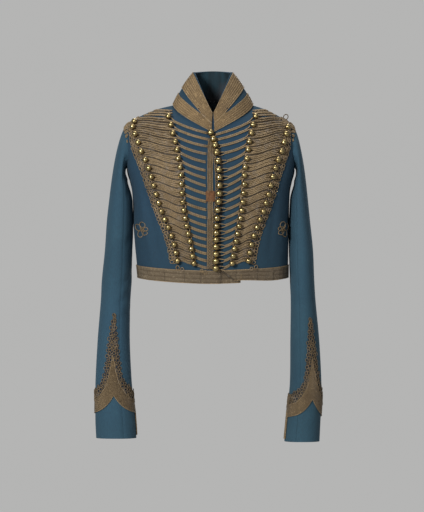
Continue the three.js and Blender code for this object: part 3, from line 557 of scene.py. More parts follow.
def tubes(paths, normals, radius, sides=6, closed=False):
    """Cords along paths (cord, step, xyz), mapped along their length in centimetres and round from 0 to 1."""
    paths, normals = np.asarray(paths, float), np.asarray(normals, float)
    cords, steps = paths.shape[:2]
    radius = np.broadcast_to(np.asarray(radius, float), (cords, steps)).copy()
    if closed:
        tangent = np.roll(paths, -1, 1) - np.roll(paths, 1, 1)
    else:
        tangent = np.gradient(paths, axis=1)
        radius[:, [0, -1]] *= 0.55
    tangent = unit(tangent)
    across = unit(np.cross(tangent, normals))
    up = np.cross(across, tangent)
    around = 2 * np.pi * np.arange(sides) / sides
    spokes = np.cos(around)[:, None] * across[:, :, None] + np.sin(around)[:, None] * up[:, :, None]
    points = paths[:, :, None] + radius[..., None, None] * spokes
    index = np.arange(cords * steps * sides).reshape(cords, steps, sides)
    along = np.concatenate([np.zeros((cords, 1)), np.cumsum(length(np.diff(paths, axis=1)), 1)], 1) * CM
    if closed:
        index = np.concatenate([index, index[:, :1]], 1)
        last = along[:, -1:] + length(paths[:, :1] - paths[:, -1:]) * CM
        along = np.concatenate([along, last], 1)
    index = np.concatenate([index, index[:, :, :1]], 2)
    chart = np.stack(np.broadcast_arrays(along[:, :, None], np.linspace(0, 1, sides + 1)[None, None]), -1)

    def quads(grid):
        corners = [grid[:, :-1, :-1], grid[:, :-1, 1:], grid[:, 1:, 1:], grid[:, 1:, :-1]]
        return np.stack(corners, 3).reshape((-1, 4) + grid.shape[3:])

    faces, charts = [quads(index)], [quads(chart)]
    if not closed:
        for end, order in ((0, (0, 3, 2, 1)), (-1, (0, 1, 2, 3))):
            for k in range(1, sides - 1, 2):
                corners = np.array([0, k, k + 1, k + 2])[list(order)]
                faces.append(index[:, end][:, corners])
                charts.append(chart[:, end][:, corners])
    faces, charts = np.concatenate(faces), np.concatenate(charts)
    return points.reshape(-1, 3), faces, charts, np.zeros(len(faces), int)


def ball_template(cuts):
    """A round ball of four-sided faces; its map holds the ball's own height."""
    line = np.tan(np.linspace(-1, 1, cuts + 1) * np.pi / 4)
    a, b = np.meshgrid(line, line, indexing="ij")
    one = np.ones_like(a)
    sheets = [(a, b, one), (b, a, -one), (one, a, b), (-one, b, a), (b, one, a), (a, -one, b)]
    points, faces = [], []
    index = np.arange((cuts + 1) ** 2).reshape(cuts + 1, cuts + 1)
    for k, sheet in enumerate(sheets):
        points.append(unit(np.stack(sheet, -1)).reshape(-1, 3))
        corners = [index[:-1, :-1], index[1:, :-1], index[1:, 1:], index[:-1, 1:]]
        faces.append(np.stack(corners, -1).reshape(-1, 4) + k * index.size)
    points, faces = np.concatenate(points), np.concatenate(faces)
    _, first, same = np.unique(np.round(points, 5), axis=0, return_index=True, return_inverse=True)
    return points[first], same.reshape(-1)[faces]


def balls(centres, normals, radius, cuts=5, flat=0.95):
    """Balls with their crowns along the normals."""
    template, quads = ball_template(cuts)
    normals = unit(normals)
    across = unit(np.cross(normals, np.array([0.3, 0.2, 0.93])))
    side = np.cross(normals, across)
    local = template * np.array([1, 1, flat])
    axes = zip(np.split(local[None], 3, -1), (across, side, normals))
    points = centres[:, None] + radius * sum(part * axis[:, None] for part, axis in axes)
    faces = quads[None] + (np.arange(len(centres)) * len(template))[:, None, None]
    chart = np.stack([template[:, 0] * 0.5 + 0.5, template[:, 2] * 0.5 + 0.5], -1)[quads]
    charts = np.broadcast_to(chart, (len(centres),) + chart.shape)
    faces = faces.reshape(-1, 4)
    return points.reshape(-1, 3), faces, charts.reshape(-1, 4, 2), np.zeros(len(faces), int)


def marked(part, slot):
    """The same part in another of its piece's materials."""
    points, faces, charts, slots = part
    return points, faces, charts, np.full(len(slots), slot)


def cord(place, radius, slot=0, sides=6, closed=False):
    """One cord along a line of places and normals."""
    point, normal = place
    return marked(tubes(point[None], normal[None], radius, sides, closed), slot)


def between(place, low, high):
    """A line of places at one height, and the way up to another."""
    point = place(low)
    return point, place(high) - point


def facing_out(points, faces):
    """Whether the faces of a closed form look outward."""
    corners = points[faces]
    first = np.einsum("ij,ij->i", corners[:, 0], np.cross(corners[:, 1], corners[:, 2]))
    second = np.einsum("ij,ij->i", corners[:, 0], np.cross(corners[:, 2], corners[:, 3]))
    return (first + second).sum() >= 0


def add_piece(name, parts, finishes, nodes, sharp=None):
    """One joined mesh of a piece, which stands for its nodes and rides on the jacket."""
    materials = [stock(finish) for finish in finishes.split()]
    old = bpy.data.objects.get(name)
    if old is not None:
        bpy.data.objects.remove(old)
    points, faces, charts, slots = [], [], [], []
    start = 0
    for part in parts:
        quads, chart = part[1], part[2]
        if not facing_out(part[0] - part[0].mean(0), quads):
            quads, chart = quads[:, ::-1], chart[:, ::-1]
        points.append(part[0])
        faces.append(quads + start)
        charts.append(chart)
        slots.append(part[3])
        start += len(part[0])
    points, faces = np.concatenate(points) * MM, np.concatenate(faces)
    mesh = bpy.data.meshes.new(name)
    mesh.from_pydata(points.tolist(), [], faces.tolist())
    chart = mesh.uv_layers.new(name="Cloth")
    chart.data.foreach_set("uv", np.concatenate(charts).astype(np.float32).ravel())
    mesh.polygons.foreach_set("material_index", np.concatenate(slots).astype(np.int32))
    mesh.polygons.foreach_set("use_smooth", np.ones(len(faces), bool))
    for material in materials:
        mesh.materials.append(material)
    if sharp:
        mesh.set_sharp_from_angle(angle=math.radians(sharp))
    mesh.update()
    piece = bpy.data.objects.new(name, mesh)
    bpy.context.scene.collection.objects.link(piece)
    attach(piece, "root")
    if nodes:
        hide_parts(*nodes)
    return piece


# Finishes
def linear(code):
    """A colour written as six hexadecimal digits, in linear light."""
    parts = [int(code[k:k + 2], 16) / 255 for k in (0, 2, 4)]
    return tuple(p / 12.92 if p <= 0.04045 else ((p + 0.055) / 1.055) ** 2.4 for p in parts)


def shade(colour, *factors):
    """A colour made darker, lighter or warmer; one factor, or one for each of red, green and blue."""
    return tuple(min(c * f, 1) for c, f in zip(colour, factors * (3 // len(factors))))


class Finish:
    """A material's nodes, added one at a time."""

    def __init__(self, name):
        self.material = bpy.data.materials.get(name) or bpy.data.materials.new(name)
        self.material.use_nodes = True
        self.tree = self.material.node_tree
        self.tree.nodes.clear()
        self.output = self.tree.nodes.new("ShaderNodeOutputMaterial")
        self.shader = self.tree.nodes.new("ShaderNodeBsdfPrincipled")
        self.tree.links.new(self.shader.outputs[0], self.output.inputs[0])
        self.places = self.tree.nodes.new("ShaderNodeTexCoord")

    def put(self, socket, value):
        if isinstance(value, bpy.types.NodeSocket):
            self.tree.links.new(value, socket)
        elif isinstance(value, tuple) and len(value) == 3 and len(socket.default_value) == 4:
            socket.default_value = (*value, 1)
        else:
            socket.default_value = value

    def math(self, kind, first, second=0.0):
        node = self.tree.nodes.new("ShaderNodeMath")
        node.operation = kind
        self.put(node.inputs[0], first)
        self.put(node.inputs[1], second)
        return node.outputs[0]

    def noise(self, scale, detail=3.0, stretch=(1, 1, 1), where="Object", rough=0.55):
        mapping = self.tree.nodes.new("ShaderNodeMapping")
        mapping.inputs["Scale"].default_value = stretch
        self.put(mapping.inputs["Vector"], self.places.outputs[where])
        node = self.tree.nodes.new("ShaderNodeTexNoise")
        self.put(node.inputs["Vector"], mapping.outputs[0])
        node.inputs["Scale"].default_value = scale
        node.inputs["Detail"].default_value = detail
        node.inputs["Roughness"].default_value = rough
        return node.outputs[0]

    def spread(self, value, low, high, start=0.0, end=1.0):
        node = self.tree.nodes.new("ShaderNodeMapRange")
        self.put(node.inputs[0], value)
        for k, number in enumerate((low, high, start, end), 1):
            node.inputs[k].default_value = number
        return node.outputs[0]

    def mix(self, share, first, second):
        node = self.tree.nodes.new("ShaderNodeMix")
        node.data_type = "RGBA"
        self.put(node.inputs[0], share)
        self.put(node.inputs[6], first)
        self.put(node.inputs[7], second)
        return node.outputs[2]

    def bump(self, height, strength, depth, under=None):
        node = self.tree.nodes.new("ShaderNodeBump")
        node.inputs["Strength"].default_value = strength
        node.inputs["Distance"].default_value = depth
        self.put(node.inputs["Height"], height)
        if under is not None:
            self.put(node.inputs["Normal"], under)
        return node.outputs[0]

    def chart(self):
        node = self.tree.nodes.new("ShaderNodeSeparateXYZ")
        self.put(node.inputs[0], self.places.outputs["UV"])
        return node.outputs[0], node.outputs[1]

    def wave(self, value, rate):
        return self.math("SINE", self.math("MULTIPLY", value, rate))

    def finish(self, colour, rough, normal, metal=0.0, sheen=0.0, sheen_colour=None):
        self.put(self.shader.inputs["Base Color"], colour)
        self.put(self.shader.inputs["Roughness"], rough)
        self.put(self.shader.inputs["Metallic"], metal)
        self.put(self.shader.inputs["Normal"], normal)
        self.shader.inputs["Sheen Weight"].default_value = sheen
        if sheen_colour:
            self.shader.inputs["Sheen Tint"].default_value = (*sheen_colour, 1)
            self.shader.inputs["Sheen Roughness"].default_value = 0.5
        return self.material


def colours():
    return bpy.context.scene.jacket_colours


def sizes():
    return bpy.context.scene.jacket_sizes


def cloth_finish(name="blue_broadcloth", base=None, deep=None, sheen=0.14):
    """Fulled wool: soft clouds of colour, fine nap laid downward, and a felted surface."""
    kit = Finish(name)
    base = tuple(base or colours().cloth)
    deep = tuple(deep or colours().cloth_deep)
    clouds = kit.spread(kit.noise(7, 4), 0.3, 0.72)
    nap = kit.noise(900, 2, (1, 1, 0.22))
    felt = kit.noise(1900, 2)
    colour = kit.mix(clouds, deep, base)
    colour = kit.mix(kit.spread(kit.noise(3.4, 1), 0.36, 0.66, 0, 0.55), colour, shade(base, 0.78, 0.9, 1.22))
    speck = kit.mix(kit.spread(nap, 0.35, 0.7), shade(deep, 0.72), shade(base, 1.45))
    colour = kit.mix(0.32, colour, speck)
    worn = kit.spread(kit.noise(26, 5), 0.6, 0.86, 0, 0.28)
    colour = kit.mix(worn, colour, tuple(min(c * 1.6 + 0.01, 1) for c in base))
    normal = kit.bump(felt, 0.35, 0.0006)
    normal = kit.bump(nap, 0.3, 0.0009, normal)
    normal = kit.bump(kit.noise(60, 3), 0.25, 0.0012, normal)
    rough = kit.spread(nap, 0.2, 0.8, 0.82, 0.97)
    return kit.finish(colour, rough, normal, 0.0, sheen, tuple(min(c * 3.2 + 0.1, 1) for c in base))


def lining_finish():
    """Plain woven lining, darker toward its streaks."""
    kit = Finish("lining")
    base = tuple(colours().lining)
    u, v = kit.chart()
    weave = kit.math("MULTIPLY", kit.wave(u, 80), kit.wave(v, 80))
    streaks = kit.spread(kit.noise(60, 3, (1, 1, 0.08)), 0.35, 0.7)
    colour = kit.mix(streaks, shade(base, 0.55), shade(base, 1.3))
    rust = kit.spread(kit.noise(14, 3), 0.52, 0.75, 0, 0.5)
    colour = kit.mix(rust, colour, (0.07, 0.035, 0.03))
    return kit.finish(colour, 0.85, kit.bump(weave, 0.3, 0.0004), 0.0, 0.1, base)


def braid_finish(name="braid", light=None, dark=None, twist=0.42, metal=0.3):
    """Twisted metal cord, tarnished between its turns and in patches."""
    kit = Finish(name)
    light = tuple(light or colours().braid)
    dark = tuple(dark or colours().braid_dark)
    u, v = kit.chart()
    turn = kit.math("ADD", kit.math("MULTIPLY", u, 2 * math.pi / twist), kit.math("MULTIPLY", v, 2 * math.pi))
    ridge = kit.math("SINE", turn)
    fine = kit.wave(kit.math("ADD", kit.math("MULTIPLY", u, 14), kit.math("MULTIPLY", v, 9)), 2 * math.pi)
    tarnish = kit.spread(kit.noise(38, 4), 0.36, 0.66)
    cool = kit.spread(kit.noise(90, 3), 0.5, 0.72, 0, 0.5)
    # Painted shade: each cord is lighter along its top and darker on its sides and underside.
    crown = kit.math("ABSOLUTE", kit.math("SUBTRACT", kit.math("ABSOLUTE", kit.math("SUBTRACT", v, 0.25)), 0.5))
    crown = kit.spread(crown, 0.24, 0.38, 0, 1)
    colour = kit.mix(kit.spread(ridge, -1, 0.4, 0.66, 1), dark, light)
    colour = kit.mix(crown, kit.mix(0.7, colour, dark), colour)
    colour = kit.mix(kit.math("MULTIPLY", tarnish, 0.42), colour, dark)
    colour = kit.mix(cool, colour, (0.26, 0.22, 0.18))
    wear = kit.spread(kit.noise(260, 3), 0.56, 0.74, 0, 0.55)
    colour = kit.mix(wear, colour, shade(light, 1.7))
    normal = kit.bump(ridge, 0.45, 0.0006)
    normal = kit.bump(fine, 0.35, 0.00025, normal)
    rough = kit.spread(kit.noise(150, 2), 0.3, 0.7, 0.4, 0.68)
    return kit.finish(colour, rough, normal, metal)


def lace_finish(name, light, dark, pitch=0.17, metal=0.3, rib=0.36):
    """Flat lace woven on the slant, with a darker ground between its threads."""
    kit = Finish(name)
    light, dark = tuple(light), tuple(dark)
    u, v = kit.chart()
    rate = 2 * math.pi / pitch
    wobble = kit.math("MULTIPLY", kit.noise(120, 2), 0.1)
    u = kit.math("ADD", u, wobble)
    one = kit.wave(kit.math("ADD", u, v), rate)
    two = kit.wave(kit.math("SUBTRACT", u, v), rate)
    threads = kit.math("MAXIMUM", one, two)
    ribs = kit.wave(v, 2 * math.pi / rib)
    height = kit.math("ADD", threads, ribs)
    tarnish = kit.spread(kit.noise(45, 4), 0.35, 0.68)
    colour = kit.mix(kit.spread(threads, -0.4, 0.8), dark, light)
    colour = kit.mix(kit.spread(ribs, -1, -0.3, 0.55, 0), colour, dark)
    colour = kit.mix(kit.math("MULTIPLY", tarnish, 0.35), colour, dark)
    wear = kit.spread(kit.noise(200, 3), 0.58, 0.74, 0, 0.5)
    colour = kit.mix(wear, colour, shade(light, 1.6))
    normal = kit.bump(height, 0.7, 0.0006)
    normal = kit.bump(kit.noise(70, 3), 0.3, 0.0012, normal)
    rough = kit.spread(kit.noise(180, 2), 0.3, 0.7, 0.42, 0.7)
    return kit.finish(colour, rough, normal, metal)


def brass_finish():
    """Ball buttons: polished on their crowns, brown near the shank, with small dents."""
    kit = Finish("brass_balls")
    base = tuple(colours().brass)
    u, v = kit.chart()
    # Darker toward the shank, on the lower half: partly tarnish, partly painted shade and dark reflection.
    foot = kit.spread(v, 0.3, 0.62, 1, 0)
    tarnish = kit.spread(kit.noise(240, 4), 0.48, 0.74, 0, 0.75)
    tarnish_and_painted_shade = kit.math("MAXIMUM", tarnish, kit.math("MULTIPLY", foot, 0.8))
    colour = kit.mix(tarnish_and_painted_shade, base, shade(base, 0.34, 0.26, 0.2))
    seam = kit.spread(kit.math("ABSOLUTE", kit.math("SUBTRACT", v, 0.5)), 0.0, 0.03, 1, 0)
    height = kit.math("SUBTRACT", kit.noise(420, 3), kit.math("MULTIPLY", seam, 0.8))
    rough = kit.spread(kit.noise(300, 3), 0.3, 0.75, 0.16, 0.42)
    return kit.finish(colour, rough, kit.bump(height, 0.25, 0.0006), 1.0)


def patch_finish():
    """Reddish brown woven mend with threads of braid showing through."""
    kit = Finish("brown_felt")
    base = tuple(colours().patch)
    u, v = kit.chart()
    weave = kit.math("MULTIPLY", kit.wave(u, 62), kit.wave(v, 62))
    grain = kit.noise(420, 3)
    colour = kit.mix(kit.spread(grain, 0.3, 0.7), shade(base, 0.6), shade(base, 1.5))
    colour = kit.mix(kit.spread(kit.noise(110, 3), 0.5, 0.7, 0, 0.6), colour, tuple(colours().braid))
    height = kit.math("ADD", weave, grain)
    return kit.finish(colour, 0.9, kit.bump(height, 0.6, 0.0007), 0.0, 0.2, base)


def stage_finish():
    """Plain pale floor."""
    kit = Finish("pale_floor")
    colour = kit.mix(kit.noise(3, 3), (0.5, 0.5, 0.5), (0.54, 0.54, 0.54))
    return kit.finish(colour, 0.9, kit.bump(kit.noise(200, 2), 0.1, 0.0004))


def backdrop_finish():
    """Evenly lit pale paper behind the jacket."""
    kit = Finish("pale_backdrop")
    colour = kit.mix(kit.noise(2, 2), (0.452, 0.452, 0.447), (0.462, 0.462, 0.457))
    kit.put(kit.shader.inputs["Emission Color"], colour)
    kit.shader.inputs["Emission Strength"].default_value = 1
    return kit.finish((0.0, 0.0, 0.0), 1.0, kit.bump(kit.noise(200, 2), 0.1, 0.0004))


def stock(name):
    """A finish by name, made on first use."""
    if name in bpy.data.materials:
        return bpy.data.materials[name]
    ours = colours()
    band = shade(ours.braid, 0.86, 0.94, 1.12)
    made = {
        "blue_broadcloth": cloth_finish,
        "blue_sleeves": lambda: cloth_finish(name, ours.sleeves, ours.cloth),
        # Near-black cloth of the underlap beside the front buttons: partly a dark facing, partly painted shadow of
        # the closing gap.
        "dark_facing": lambda: cloth_finish(name, (0.014, 0.016, 0.018), (0.008, 0.009, 0.011), 0.0),
        "dark_thread": lambda: cloth_finish(name, (0.012, 0.02, 0.03), (0.006, 0.01, 0.016), 0.0),
        "lining": lining_finish,
        "braid": braid_finish,
        # Very dark braid: painted shade as the sheet under the field and strip cords and as the hem lace's fold
        # shadow; also the dark seam cords of the hem lace.
        "braid_ground": lambda: braid_finish(name, shade(ours.braid, 0.2), shade(ours.braid_dark, 0.5), 0.3, 0.1),
        "braid_dull": lambda: braid_finish(name, shade(ours.braid, 0.62), None, 0.36, 0.3),
        "braid_bright": lambda: braid_finish(name, shade(ours.braid, 1.3), None, 0.36, 0.4),
        "collar_weave": lambda: lace_finish(name, ours.collar_lace, ours.braid_dark, 0.3),
        "cuff_weave": lambda: lace_finish(name, ours.braid, ours.braid_dark, 0.16, 0.2, 0.42),
        "band_weave": lambda: lace_finish(name, band, ours.braid_dark, 0.12, 0.15, 0.9),
        "brass_balls": brass_finish,
        "brown_felt": patch_finish,
    }
    return made[name]()


# Makers of each part
def cloth_panel(name, turns, drops, place, node, cloth="blue_broadcloth", facing=None):
    """A cloth piece between its outside and inside, with a dark part where one is given."""
    thickness = sizes().cloth / MM
    grid = np.broadcast_to(drops[:, None], turns.shape)
    outer, inner = place(turns, grid, 0), place(turns, grid, -thickness)
    part = wall(outer, inner)
    if facing is not None:
        # These faces get the near-black cloth: painted shadow of the closing gap over a dark facing.
        dark = facing(turns, grid)[:-1, :-1].ravel()
        part[3][:dark.size][dark] = 2
    piece = add_piece(name, [part], f"{cloth} lining dark_facing", [node], 50)
    return piece, outer


def declare_sheet(outer):
    """The flat cut of a cloth piece: widest and longest lines of the cloth, and its area."""
    width = length(np.diff(outer, axis=1)).sum(1).max() * MM
    tall = length(np.diff(outer, axis=0)).sum(0).max() * MM
    a, b = np.diff(outer, axis=1)[:-1], np.diff(outer, axis=0)[:, :-1]
    area = length(np.cross(a, b)).sum() * MM * MM
    area = max(0.3 * width * tall, min(area, width * tall))


def make_body():
    step = sizes().grid / MM
    drops = body_drops(step)
    for name, sign in SIDES.items():
        turns = front_turns(sign, drops, int(225 / step))
        place = lambda turn, drop, height, sign=sign: front_place(sign, turn, drop, height)
        # Faces of the underlap just past the front buttons, painted near-black as the shadow of the closing gap
        # over a dark facing.
        shadow = lambda turn, drop: (turn < -1.6 - bar_turn(drop)) & (turn > -4.1 - bar_turn(drop))
        facing = shadow if sign < 0 else None
        piece, outer = cloth_panel(f"cloth_front_{name}", turns, drops, place, f"front_{name}", facing=facing)
        declare_sheet(outer)
    piece, outer = cloth_panel("cloth_back", back_turns(drops, int(430 / step)), drops, body_place, "back")
    declare_sheet(outer)


def make_sleeves():
    step = sizes().grid / MM
    alongs = np.concatenate(
        [np.linspace(0, 1, int(HEAD_LENGTH / step))[:-1], np.linspace(1, 2, int(ARM_LENGTH / step))]
    )
    for name, sign in SIDES.items():
        for half, start in (("outer", -TOP_SLEEVE_REACH), ("under", TOP_SLEEVE_REACH)):
            end = TOP_SLEEVE_REACH if half == "outer" else 360 - TOP_SLEEVE_REACH
            gap = np.where(alongs < 0.5, np.degrees(SEAM / 2 / 24), np.degrees(SEAM / 2 / 34))
            count = int((end - start) * SLEEVE_DEG_MM / step * 1.5)
            turns = (start + gap)[:, None] + (end - start - 2 * gap)[:, None] * np.linspace(0, 1, count)
            place = lambda turn, along, height, sign=sign: sleeve_place(sign, turn, along, height)[0]
            node = f"sleeve_{name}_{half}"
            piece, outer = cloth_panel(f"cloth_{node}", turns, alongs, place, node, "blue_sleeves")
            declare_sheet(outer)


def collar_line(count, edge=0.5):
    """Turns round the collar from one front edge to the other."""
    front, last = np.linspace(edge, 90, count)[:-1], np.linspace(270, 360 - edge, count)
    return np.concatenate([front, np.linspace(90, 270, 2 * count)[:-1], last])


def merge(turn):
    """How far the two laces of the collar have come together: 1 at its front."""
    return 1 - np.clip((np.minimum(turn, 360 - turn) - 22) / 50, 0, 1) ** 0.5


def collar_lace(low, high, lift, thickness, rows):
    """A band of lace round the collar between two edges."""
    turns = np.broadcast_to(collar_line(46, 2.2), (rows, 4 * 46 - 2))
    share = np.linspace(0, 1, rows)[:, None]
    ups = low(turns) + (high(turns) - low(turns)) * share
    crown = thickness * (1 - 0.35 * (2 * share - 1) ** 4)
    outer = collar_place(turns, ups, lift + crown + 0 * ups)[0]
    return wall(outer, collar_place(turns, ups, lift)[0])


def make_collar():
    line = collar_line(46)
    shape = (26, len(line))
    turns, rows = np.broadcast_to(line, shape), np.broadcast_to(np.linspace(0, 1, 26)[:, None], shape)
    outer, inner = collar_place(turns, rows, 0)[0], collar_place(turns, rows, -COLLAR_CLOTH)[0]
    cloth = "blue_broadcloth lining"
    piece = add_piece("collar_cloth", [wall(outer, inner)], cloth, ["collar"], 50)
    declare_sheet(outer)
    lower_top = lambda turn: 0.365 + 0.085 * merge(turn)
    upper_foot = lambda turn: 0.53 - 0.075 * merge(turn)
    level = lambda up: lambda turn: up + 0 * turn
    lower = [collar_lace(level(0.03), lower_top, 0.5, 1.4, 9)]
    lower += [collar_cord(edge, 0.8) for edge in (level(0.045), lambda turn: lower_top(turn) - 0.012)]
    upper = [collar_lace(upper_foot, level(0.975), 0.5, 1.4, 8)]
    upper += [collar_cord(edge, 0.8) for edge in (lambda turn: upper_foot(turn) + 0.01, level(0.97))]
    upper.append(marked(collar_eyelets(), 2))
    weave = "collar_weave braid_bright dark_thread"
    add_piece("collar_lace_low", lower, "collar_weave braid_bright", ["collar_lace_lower"], 60)
    add_piece("collar_lace_high", upper, weave, ["collar_lace_upper"], 60)


def collar_eyelets():
    """Two small dark eyelets by the points of the blue stripes."""
    centre, normal = collar_place(np.array([27.0, 333.0]), 0.52, 2.0)
    return balls(centre, normal, 1.5, 3, 0.4)


def collar_cord(edge, radius):
    """A thin cord along an edge of the collar's lace."""
    line = collar_line(90, 2.4)
    return cord(collar_place(line, edge(line), 0.5 + 1.2), radius, 1)


def bar_start(sign, bar):
    """Where a bar's cords start: past the front edge, or beside the strip and the front buttons."""
    middle = column(FROGGING, "middle", bar)
    if sign > 0:
        return column(EDGE, "turn", middle) + 0.5
    return np.maximum(0.5 - STRIP["from"], 3.0 - column(BUTTON_LINE, "turn", bar))


def frog_spot(sign, bar, share):
    """Turn and drop along a bar: 0 at the centre, 1 at the inner button, 2 at the outer one."""
    at = {name: column(FROGGING, name, bar) for name in ("middle", "in_turn", "in_drop", "out_turn", "out_drop")}
    start = bar_start(sign, bar)
    near = np.clip(share, None, 1)
    far = share - 1
    inside = share < 1

    def between_buttons(first, kind):
        inner, outer = at[f"in_{kind}"], at[f"out_{kind}"]
        return np.where(inside, first + (inner - first) * near, inner + (outer - inner) * far)

    return between_buttons(start, "turn"), between_buttons(at["middle"], "drop")


def cord_on_frog(sign, bar, share, across, below, height):
    """A place beside a bar, by millimetres away from the centre, down and out."""
    turn, drop = frog_spot(sign, bar, share)
    return on_body(sign * turn, drop, sign * across, below, height)


def field_slant(share):
    """How far the field's rows dip toward the inner buttons, in millimetres."""
    away = np.clip(share - 1, 0, 1)
    return 1.7 * np.sin(2 * np.pi * away) * smooth_step(0, 0.12, away) * smooth_step(0, 0.12, 1 - away)


def field_cord_size(bar, share, largest):
    """Radius of the field's cords, so that four of them and one dark line fill the pitch."""
    pitch = (frog_spot(-1, bar + 0.5, share)[1] - frog_spot(-1, bar - 0.5, share)[1]) * BODY_LENGTH
    return np.clip(pitch * 0.105, 0.8, largest * 1.1)


def rings_on_body(turn, drop, radius_across, radius_down, tilt, cord, height, steps=14):
    """Small closed loops of cord lying on the body."""
    angle = 2 * np.pi * np.arange(steps) / steps
    a, b = radius_across[:, None] * np.cos(angle), radius_down[:, None] * np.sin(angle)
    across = a * np.cos(tilt)[:, None] - b * np.sin(tilt)[:, None]
    below = a * np.sin(tilt)[:, None] + b * np.cos(tilt)[:, None]
    return tubes(*on_body(turn[:, None], drop[:, None], across, below, height[:, None]), cord, 5, True)


def make_frogging():
    chance = np.random.default_rng(7)
    bar_cord = sizes().bar_cord / MM / 2
    field_cord = sizes().field_cord / MM / 2
    ring_cord = sizes().ring_cord / MM / 2
    for name, sign in SIDES.items():
        parts = []
        bars = np.arange(BARS, dtype=float)[:, None]
        share = np.concatenate([np.linspace(0, 1, 34)[:-1], np.linspace(1, 2, 42), [2.03, 2.06]])[None, :]
        bars, share = np.broadcast_arrays(bars, share)
        at_in, at_out = np.exp(-(((share - 1) * 45 / 4.6) ** 2)), np.exp(-(((share - 2) * 60 / 4.6) ** 2))
        sag = 1.3 * np.sin(np.pi * np.clip(share, 0, 1))
        phase = chance.uniform(0, 6.28, (BARS, 1))
        wander = 0.3 * np.sin(share * 38 + phase) * (share > 1.05)
        for way in (-1, 1):
            full = field_cord_size(bars, share, bar_cord)
            thick = bar_cord * 0.9 + (full - bar_cord * 0.9) * smooth_step(0.97, 1.06, share)
            shift = way * (thick * 1.02 + 3.2 * at_in + 3.2 * at_out) + sag + wander + field_slant(share)
            parts.append(tubes(*cord_on_frog(sign, bars, share, 0, shift, 0.2 + thick), thick))
        away = np.linspace(0, 1, 40)
        for rise, (turn, drop, last_turn, last_drop) in enumerate(SHOULDER_ROWS, 1):
            turns, drops = turn + (last_turn - turn) * away, drop + (last_drop - drop) * away
            for way in (-1, 1):
                shift = way * bar_cord * 1.04 + 0.5 * np.sin(away * 21 + 2 * rise + way)
                parts.append(cord(on_body(sign * turns, drops, 0, shift, 0.2 + bar_cord), bar_cord))
        run = np.linspace(1.985, 0.955, 30)
        bend = np.linspace(0, np.pi, 11)[1:-1]
        share = np.concatenate([run, np.full(9, 0.955), run[::-1]])[None, :]
        turnabout = np.concatenate([0 * run, bend, 0 * run + np.pi])[None, :]
        bars = np.arange(BARS - 1, dtype=float)[:, None] + 0.5 - 0.185 * np.cos(turnabout)
        bars, share = np.broadcast_arrays(bars, share)
        phase = chance.uniform(0, 6.28, (BARS - 1, 1))
        thick = field_cord_size(bars, share, field_cord)
        below = 0.3 * np.sin(share * 37 + phase + bars) + field_slant(share)
        parts.append(tubes(*cord_on_frog(sign, bars, share, -2.4 * np.sin(turnabout), below, 0.2 + thick), thick))
        # A dark braid sheet under the field: painted shade between the rows of cord.
        rows, cols = np.meshgrid(np.linspace(0, BARS - 1, 150), np.linspace(0.99, 2.02, 26), indexing="ij")
        turn, drop = frog_spot(sign, rows, cols)
        parts.append(marked(ground_under(sign * turn, drop + field_slant(cols) / BODY_LENGTH), 1))
        parts += border_rings(sign, ring_cord, chance)
        parts.append(head_rings(sign, ring_cord, chance))
        parts += foot_loops(sign, ring_cord)
        finishes = "braid braid_ground dark_thread"
        add_piece(f"cord_frogging_{name}", parts, finishes, [f"frogging_{name}"])


def ground_under(turn, drop, top=0.9, foot=0.3):
    """A thin ground of thread under a field of cord."""
    return wall(body_place(turn, drop, top), body_place(turn, drop, foot))


def head_rings(sign, cord, chance):
    """The border's loops that lie over the seam onto the head of the sleeve."""
    reaches = ((-4, 0.1), (-14, 0.15), (-24, 0.15), (-34, 0.13), (-45, 0.1), (-57, 0.07), (-69, 0.04))
    spots = [(turn, along) for turn, reach in reaches for along in np.arange(0.02, reach, 0.036)]
    spots = np.array(spots) + chance.uniform(-1, 1, (len(spots), 2)) * np.array([1.5, 0.006])
    angle = 2 * np.pi * np.arange(13)[None, :] / 13
    size = chance.uniform(2.8, 3.5, (len(spots), 1))
    turn, along = spots.T
    degree = length(sleeve_point(sign, turn + 1, along) - sleeve_point(sign, turn, along))[:, None]
    turns = spots[:, :1] + size * np.cos(angle) / degree
    alongs = spots[:, 1:] + size * np.sin(angle) / HEAD_LENGTH
    return tubes(*sleeve_place(sign, turns, np.maximum(alongs, 0.001), 0.3 + cord), cord, 5, True)


def foot_loops(sign, radius):
    """Small looped ends of cord below the columns, and one curl that stands up at the left shoulder."""
    spots = [(25.6 if sign < 0 else 31.5, 0.937, 3.4), (22.4 if sign < 0 else 28.2, 0.943, 3.0)]
    if sign < 0:
        spots += [(5.6, 0.952, 3.3), (8.3, 0.946, 2.8)]
    parts = []
    angle = 2 * np.pi * np.arange(16) / 16
    for turn, drop, size in spots:
        ring = on_body(sign * turn, drop, size * np.cos(angle), 1.25 * size * np.sin(angle), 2.9)
        parts.append(cord(ring, radius, 0, 5, True))
    if sign > 0:
        foot, normal = on_body(84.0, 0.232, 0, 0, 6.5)
        along = unit(np.cross(normal, np.array([0, 1.0, 0.2])))
        ring = foot + 4.6 * (np.cos(angle)[:, None] * along + 1.3 * np.sin(angle)[:, None] * normal)
        parts.append(cord((ring, np.broadcast_to(np.array([0, 1.0, 0]), ring.shape)), radius, 0, 5, True))
    return parts


